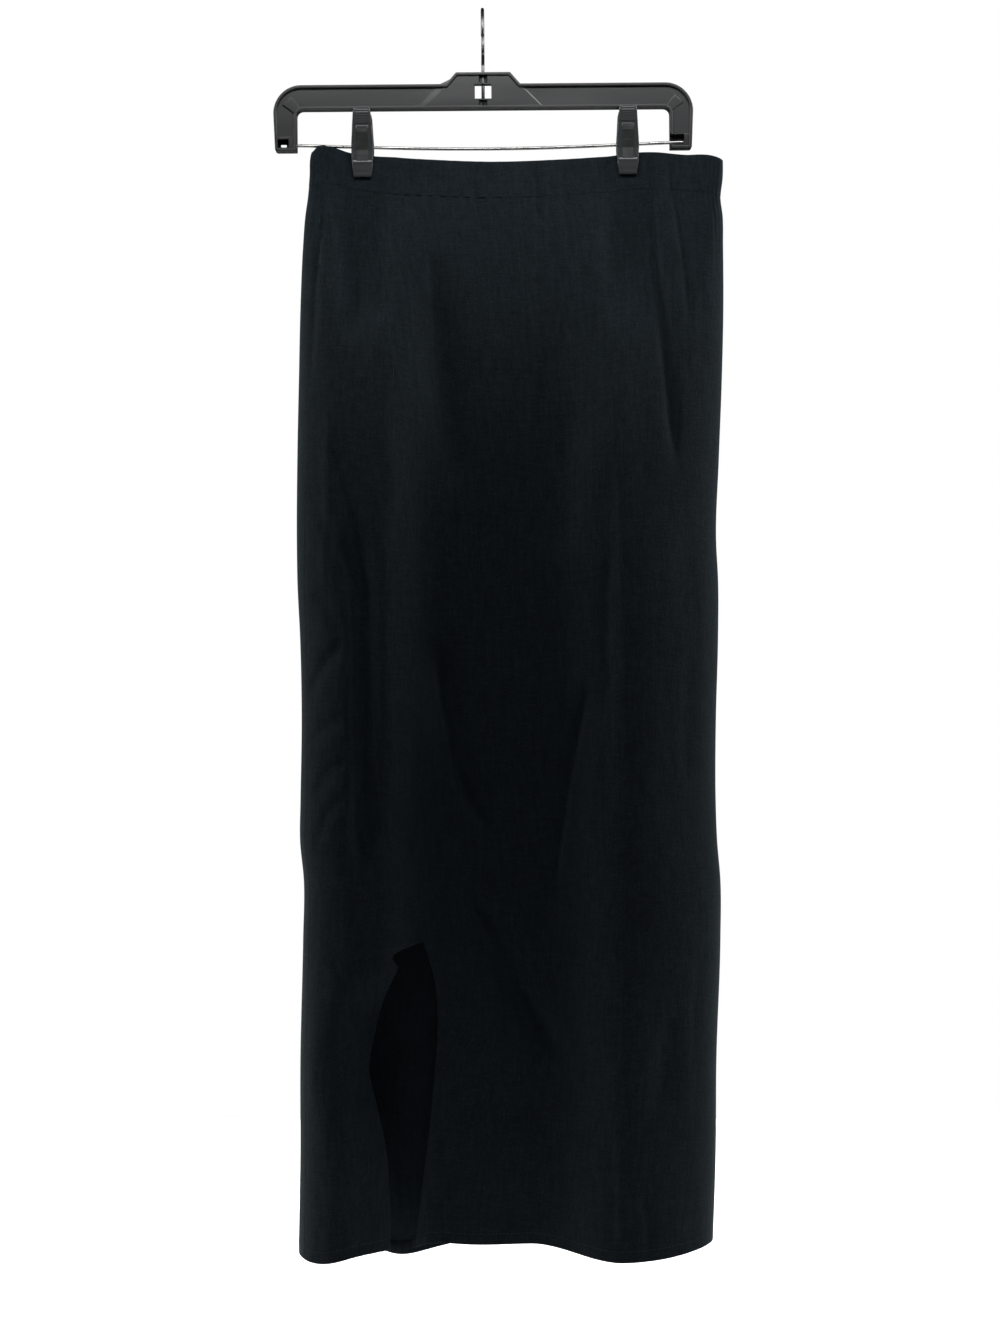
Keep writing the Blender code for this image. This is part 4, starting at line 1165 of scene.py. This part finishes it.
def frame_cutters():
    """The window, the sockets of the shank and the hollows of the feet, then the foot's hole."""
    tools, hole = bmesh.new(), bmesh.new()
    proud = FRAME_HALF_THICK + 1.0
    add_cutter_box(tools, (-WINDOW_HALF, WINDOW_HALF, *WINDOW_Z), -proud, proud)
    for low, high in SOCKETS_Z:
        groove = arc((0.0, -FRAME_HALF_THICK), SOCKET_RADIUS, 4, 349, 23)
        add_rings(tools, [[(x, y, z) for x, y in groove] for z in (low, high)])
    add_cutter_box(tools, LEFT_FOOT_POCKET, -proud, FOOT_POCKET_FLOOR_Y)
    add_cutter_box(tools, RIGHT_ROD_SLOT, -proud, ROD_WIRE / 2 + SEAT_GAP)
    add_cutter_box(hole, LEFT_FOOT_HOLE, -proud, proud)
    return tools, hole


def build_rim():
    """The rounded rim all round the frame, swept along its outline."""
    edge = bpy.context.scene.skirt_hanger.edge_round / MM
    flat = FRAME_HALF_THICK - edge
    corners = ((RIM - edge, flat, 0), (edge, flat, 90), (edge, -flat, 180), (RIM - edge, -flat, 270))
    rings = []
    for inset, y, start in corners:
        for turn in EDGE_TURNS:
            a = math.radians(start + turn)
            outline = frame_outline(inset + edge * math.cos(a))
            rings.append([(x, y + edge * math.sin(a), z) for x, z in outline])
    bm = bmesh.new()
    add_rings(bm, rings, closed=True)
    return mesh_object("rim", bm)


def build_frame():
    plastic = plastic_material("frame_plastic", bpy.context.scene.skirt_hanger.plastic)
    floor_y = FRAME_HALF_THICK - POCKET_DEPTH
    plate_y = FRAME_HALF_THICK - PLATE_DROP
    web = bmesh.new()
    outline = frame_outline(RIM - SEAT_GAP)
    add_rings(web, [[(x, y, z) for x, z in outline] for y in (-floor_y, floor_y)])
    pieces = [build_rim(), mesh_object("web", web)]

    low, high = BAR_BOTTOM_Z + RIM - SEAT_GAP, BAR_TOP_Z - RIM
    shoulder, foot = (BLOCK_BASE_HALF + spread for spread in BLOCK_SPREAD)
    half = [(foot, low), (shoulder, high), (BLOCK_TOP_HALF - 1.0, BLOCK_TOP_Z - RIM + SEAT_GAP)]
    block = half + [(-x, z) for x, z in reversed(half)]
    ramp = [
        (x + math.copysign(RAMP[1 if x > 0 else -1], x) * (z < BLOCK_TOP_Z - RIM), z)
        for x, z in block
    ]
    inner = FRAME_HALF_WIDTH - LEG_WIDTH + RIM - SEAT_GAP
    outer = FRAME_HALF_WIDTH - LEG_TAPER - RIM + SEAT_GAP
    toe = LEG_BOTTOM_Z + RIM - SEAT_GAP
    for face in (-1, 1):
        plates = bmesh.new()
        add_plate(plates, block, face, floor_y - PLATE_SEAT, plate_y, ramp)
        pieces.append(mesh_object("block", plates))
        for side in (-1, 1):
            foot_plate = bmesh.new()
            block_outline = box_outline(*sorted((side * inner, side * outer)), toe, FOOT_BLOCK_Z)
            add_plate(foot_plate, block_outline, face, floor_y - PLATE_SEAT, plate_y)
            pieces.append(mesh_object("foot", foot_plate))
    for piece in pieces:
        for cutters in frame_cutters():
            cut_away(piece, cutters)
    for side, rib_y in CORNER_RIB_FACE.items():
        for face in (-1, 1):
            rib = bmesh.new()
            add_plate(rib, [(side * x, z) for x, z in CORNER_RIB], face, floor_y - PLATE_SEAT, rib_y)
            pieces.append(mesh_object("rib", rib))
    moulding = join_pieces("hanger_moulding", pieces)
    crisp(moulding, 40)
    dress(moulding, plastic, "black_plastic", "hanger_frame")


def add_wire(name, points, diameter, material, slot, node):
    """A round wire through points of the hanger's drawing, with rounded ends."""
    curve = bpy.data.curves.new(name, "CURVE")
    curve.dimensions = "3D"
    curve.bevel_depth = diameter / 2 * MM
    curve.bevel_resolution = 6
    curve.use_fill_caps = True
    spline = curve.splines.new("POLY")
    spline.points.add(len(points) - 1)
    for vertex, point in zip(spline.points, points):
        vertex.co = (*hung_on_hanger(point), 1.0)
    for end in (0, -1):
        spline.points[end].radius = 0.8
    obj = bpy.data.objects.new(name, curve)
    bpy.context.collection.objects.link(obj)
    return dress(obj, material, slot, node)


def build_hook_and_rod():
    hanger = bpy.context.scene.skirt_hanger
    radius = HOOK_INNER_RADIUS + HOOK_WIRE / 2
    sweep = np.radians(np.linspace(HOOK_START, HOOK_END, HOOK_POINTS))
    bend = [(0.0, radius * math.cos(a), radius * math.sin(a) - HOOK_INNER_RADIUS) for a in sweep]
    reach = bend[0][2] - NECK_Z
    rise = [
        (0.0, bend[0][1] * float(smoothstep(t)), NECK_Z + reach * t)
        for t in np.linspace(0.0, 1.0, NECK_POINTS, endpoint=False)
    ]
    shank = [(0.0, 0.0, z) for z in (SHANK_BOTTOM_Z, SHANK_BOTTOM_Z + 0.6, -64.0, NECK_Z - 4.0)]
    dark = steel_material("dark_steel_wire", hanger.dark, 0.36)
    leaf = steel_material("dark_steel_leaf", hanger.leaf, 0.40)
    add_wire("hook_wire", shank + rise + bend, HOOK_WIRE, dark, "dark_steel", "hanger_hook")
    xs = np.linspace(ROD_ROUTE[0].x, ROD_ROUTE[-1].x, ROD_POINTS)
    rod = [(x, 0.0, z) for x, z in zip(xs.tolist(), line_z(ROD_ROUTE, xs).tolist())]
    bright = steel_material("bright_steel_wire", hanger.bright, 0.22)
    add_wire("rod_wire", rod, ROD_WIRE, bright, "bright_steel", "clip_rod")
    for side in CLIP_X:
        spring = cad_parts[f"clip_{side}_spring"]
        spring.data.materials.clear()
        spring.data.materials.append(leaf)


def jaw_value(z, column):
    rows = JAW_ROWS[::-1]
    return np.interp(z, [row.z for row in rows], [getattr(row, column) for row in rows])


def jaw_rings(x, face):
    """One lever of a clip: thumb ridges, a recess for the spring, a grooved lip."""
    zs = np.sort(
        np.concatenate([np.linspace(JAW_ROWS[0].z, JAW_END_Z, JAW_LEVELS), [r.z for r in JAW_ROWS]])
    )[::-1]
    across = np.linspace(-1.0, 1.0, JAW_ACROSS)
    rings = []
    for z in zs.tolist():
        half = float(jaw_value(z, "half_width"))
        outer, inner = float(jaw_value(z, "outer")), float(jaw_value(z, "inner"))
        dx = np.sin(across * math.pi / 2) * half
        from_side = half - np.abs(dx)
        rounding = JAW_ROUND - np.sqrt(
            np.clip(JAW_ROUND**2 - np.clip(JAW_ROUND - from_side, 0.0, None) ** 2, 0.0, None)
        )
        in_recess = smoothstep((from_side - JAW_RIB) / JAW_RIB_EASE + 1.0)
        in_recess = in_recess * smoothstep((z - JAW_RECESS_Z[0]) / JAW_RELIEF_EASE)
        in_recess = in_recess * smoothstep((JAW_RECESS_Z[1] - z) / JAW_RELIEF_EASE)
        on_thumb = (THUMB_RIDGES_Z[0] < z < THUMB_RIDGES_Z[1]) * smoothstep(
            (THUMB_RIDGE_HALF - np.abs(dx)) / JAW_RELIEF_EASE
        )
        ridge = abs(math.sin((z - THUMB_RIDGES_Z[0]) * math.pi / THUMB_RIDGE_PITCH)) ** 0.5
        end = min(JAW_ROWS[0].z - z, z - JAW_END_Z)
        end_round = JAW_ROUND - math.sqrt(max(JAW_ROUND**2 - max(JAW_ROUND - end, 0.0) ** 2, 0.0))
        on_lip = (LIP_GROOVES_Z[0] < z < LIP_GROOVES_Z[1]) * (from_side > LIP_GROOVE_SIDE)
        y = outer - rounding - end_round * JAW_END_ROUNDING - JAW_RECESS * in_recess
        y = y + (ridge - 1.0) * THUMB_RIDGE_HEIGHT * on_thumb - LIP_GROOVE_DEPTH * on_lip
        y = np.maximum(y, inner + JAW_LEAST_WALL)
        outside = [(x + d, face * v, z) for d, v in zip(dx.tolist(), y.tolist())]
        inside = [(x + d * half, face * inner, z) for d in JAW_INSIDE]
        rings.append(outside + inside)
    return rings


def build_clips():
    plastic = plastic_material("clip_plastic", bpy.context.scene.skirt_hanger.clips)
    for side, x in CLIP_X.items():
        drop = float(line_z(ROD_ROUTE, x)) - FULCRUM_Z
        jaws = []
        for face in (-1, 1):
            bm = bmesh.new()
            add_rings(bm, [[(px, py, pz + drop) for px, py, pz in r] for r in jaw_rings(x, face)])
            jaw = mesh_object("jaw", bm, 50)
            tool = bmesh.new()
            slot = (x - SLOT_HALF, x + SLOT_HALF, SLOT_Z[1] + drop, SLOT_Z[0] + drop)
            add_cutter_box(tool, slot, *(face * y for y in SLOT_Y))
            cut_away(jaw, tool)
            jaws.append(jaw)
        clip = join_pieces(f"clip_{side}_jaws", jaws)
        crisp(clip, 50)
        dress(clip, plastic, "black_plastic", f"clip_{side}_front_jaw", f"clip_{side}_back_jaw")


def area_light(name, place, aim, size, power):
    data = bpy.data.lights.new(name, "AREA")
    data.shape = "RECTANGLE"
    data.size, data.size_y = size
    data.energy = power
    light = bpy.data.objects.new(name, data)
    light.location = place
    toward = mathutils.Vector(aim) - mathutils.Vector(place)
    light.rotation_euler = toward.to_track_quat("-Z", "Y").to_euler()
    light.visible_camera = False
    bpy.context.collection.objects.link(light)


def studio_world():
    """Pale walls, darker on the camera's side, that show white behind the skirt."""
    studio = bpy.context.scene.skirt_studio
    world = bpy.data.worlds.new("studio")
    bpy.context.scene.world = world
    nodes = Nodes(world)
    direction = nodes.add("ShaderNodeTexCoord")
    _, y, z = nodes.parts(direction)
    walls = y.between(-0.55, 0.15) * studio.surround + studio.front
    walls = walls * (0.6 + z.between(-0.6, 0.9) * 0.8)
    seen = nodes.add("ShaderNodeLightPath")
    light = nodes.add(
        "ShaderNodeBackground", sockets={"Color": (1.0, 1.0, 1.0, 1.0), "Strength": walls}
    )
    white = nodes.add("ShaderNodeBackground", sockets={"Color": (1.0, 1.0, 1.0, 1.0)})
    both = nodes.add("ShaderNodeMixShader", sockets={0: seen, 1: light, 2: white})
    nodes.end("ShaderNodeOutputWorld", both)


def floor_material():
    made, nodes = new_material("pale_floor")
    place = nodes.add("ShaderNodeTexCoord", out=3)
    cloud = nodes.noise(place, 3.0, 2.0)
    nodes.surface(
        {
            "Base Color": nodes.tint((0.9, 0.9, 0.9), 0.98 + cloud * 0.04),
            "Roughness": 0.85 + cloud * 0.1,
            "Specular IOR Level": 0.2,
        }
    )
    return made


def build_stage():
    scene = bpy.context.scene
    studio = scene.skirt_studio
    data = bpy.data.cameras.new("camera")
    data.sensor_width = 36.0
    data.lens = 36.0 * studio.distance / studio.view_height
    data.clip_start = 0.01
    camera = bpy.data.objects.new("camera", data)
    camera.location = (studio.centre_x, -studio.distance, studio.centre_z)
    camera.rotation_euler = (math.radians(90.0), 0.0, 0.0)
    scene.collection.objects.link(camera)
    scene.camera = camera
    scene.view_settings.view_transform = "Standard"
    studio_world()

    bm = bmesh.new()
    bmesh.ops.create_grid(bm, x_segments=8, y_segments=8, size=1.6)
    floor = mesh_object("floor", bm)
    floor.location = (0.0, 0.0, studio.floor_z)
    floor.data.materials.append(floor_material())

    area_light("key", (0.03, -0.25, 0.12), (0.02, 0.0, -0.25), (0.6, 0.12), studio.key)
    area_light("left_side", (-1.3, -0.03, 0.4), (0.0, 0.0, -0.15), (0.4, 0.8), studio.left)
    area_light("right_side", (1.3, -0.03, 0.4), (0.0, 0.0, -0.15), (0.4, 0.8), studio.right)
    area_light("low", (-0.05, -0.55, -1.20), (-0.02, 0.0, -1.0), (0.6, 0.2), studio.low)
    area_light("backdrop", (0.0, 1.15, -0.65), (0.0, 1.15, -1.3), (2.2, 1.4), studio.backdrop)


class SKIRT_OT_panels(Operator):
    """Hang the three panels of the skirt, with their turned hems and seams"""

    bl_idname = "skirt.panels"
    bl_label = "Panels"

    def execute(self, context):
        build_panels()
        return {"FINISHED"}


class SKIRT_OT_waistband(Operator):
    """Put the folded waistband round the tops of the panels"""

    bl_idname = "skirt.waistband"
    bl_label = "Waistband"

    def execute(self, context):
        build_waistband()
        return {"FINISHED"}


class SKIRT_OT_stitches(Operator):
    """Sew the hems with running stitches"""

    bl_idname = "skirt.stitches"
    bl_label = "Hem Stitches"

    def execute(self, context):
        build_stitches()
        return {"FINISHED"}


class SKIRT_OT_frame(Operator):
    """Mould the hanger's frame, with its rim, blocks, ribs and sockets"""

    bl_idname = "skirt.frame"
    bl_label = "Hanger Frame"

    def execute(self, context):
        build_frame()
        return {"FINISHED"}


class SKIRT_OT_wires(Operator):
    """Bend the hook and the rod from round wire"""

    bl_idname = "skirt.wires"
    bl_label = "Hook and Rod"

    def execute(self, context):
        build_hook_and_rod()
        return {"FINISHED"}


class SKIRT_OT_clips(Operator):
    """Mould the jaws of both clips"""

    bl_idname = "skirt.clips"
    bl_label = "Clips"

    def execute(self, context):
        build_clips()
        return {"FINISHED"}


class SKIRT_OT_studio(Operator):
    """Set the camera, the lights, the surround and the floor"""

    bl_idname = "skirt.studio"
    bl_label = "Studio"

    def execute(self, context):
        build_stage()
        return {"FINISHED"}


OPERATORS = (
    SKIRT_OT_panels,
    SKIRT_OT_waistband,
    SKIRT_OT_stitches,
    SKIRT_OT_frame,
    SKIRT_OT_wires,
    SKIRT_OT_clips,
    SKIRT_OT_studio,
)
SETTINGS = {
    "skirt_cloth": ClothSettings,
    "skirt_hanger": HangerSettings,
    "skirt_studio": StudioSettings,
}


class SKIRT_PT_build(Panel):
    """Builds the skirt piece by piece"""

    bl_label = "Maxi Skirt"
    bl_space_type = "VIEW_3D"
    bl_region_type = "UI"
    bl_category = "Skirt"

    def draw(self, context):
        for name, settings in SETTINGS.items():
            box = self.layout.box()
            for setting in settings.__annotations__:
                box.prop(getattr(context.scene, name), setting)
        for step in OPERATORS:
            self.layout.operator(step.bl_idname)


def register():
    for made in (*SETTINGS.values(), *OPERATORS, SKIRT_PT_build):
        bpy.utils.register_class(made)
    for name, settings in SETTINGS.items():
        setattr(bpy.types.Scene, name, PointerProperty(type=settings))


def unregister():
    for name in SETTINGS:
        delattr(bpy.types.Scene, name)
    for made in (SKIRT_PT_build, *OPERATORS[::-1], *SETTINGS.values()):
        bpy.utils.unregister_class(made)


def main():
    register()
    bpy.ops.skirt.panels()
    bpy.ops.skirt.waistband()
    bpy.ops.skirt.stitches()
    bpy.ops.skirt.frame()
    bpy.ops.skirt.wires()
    bpy.ops.skirt.clips()
    bpy.ops.skirt.studio()
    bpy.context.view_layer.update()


if __name__ == "__main__":
    main()
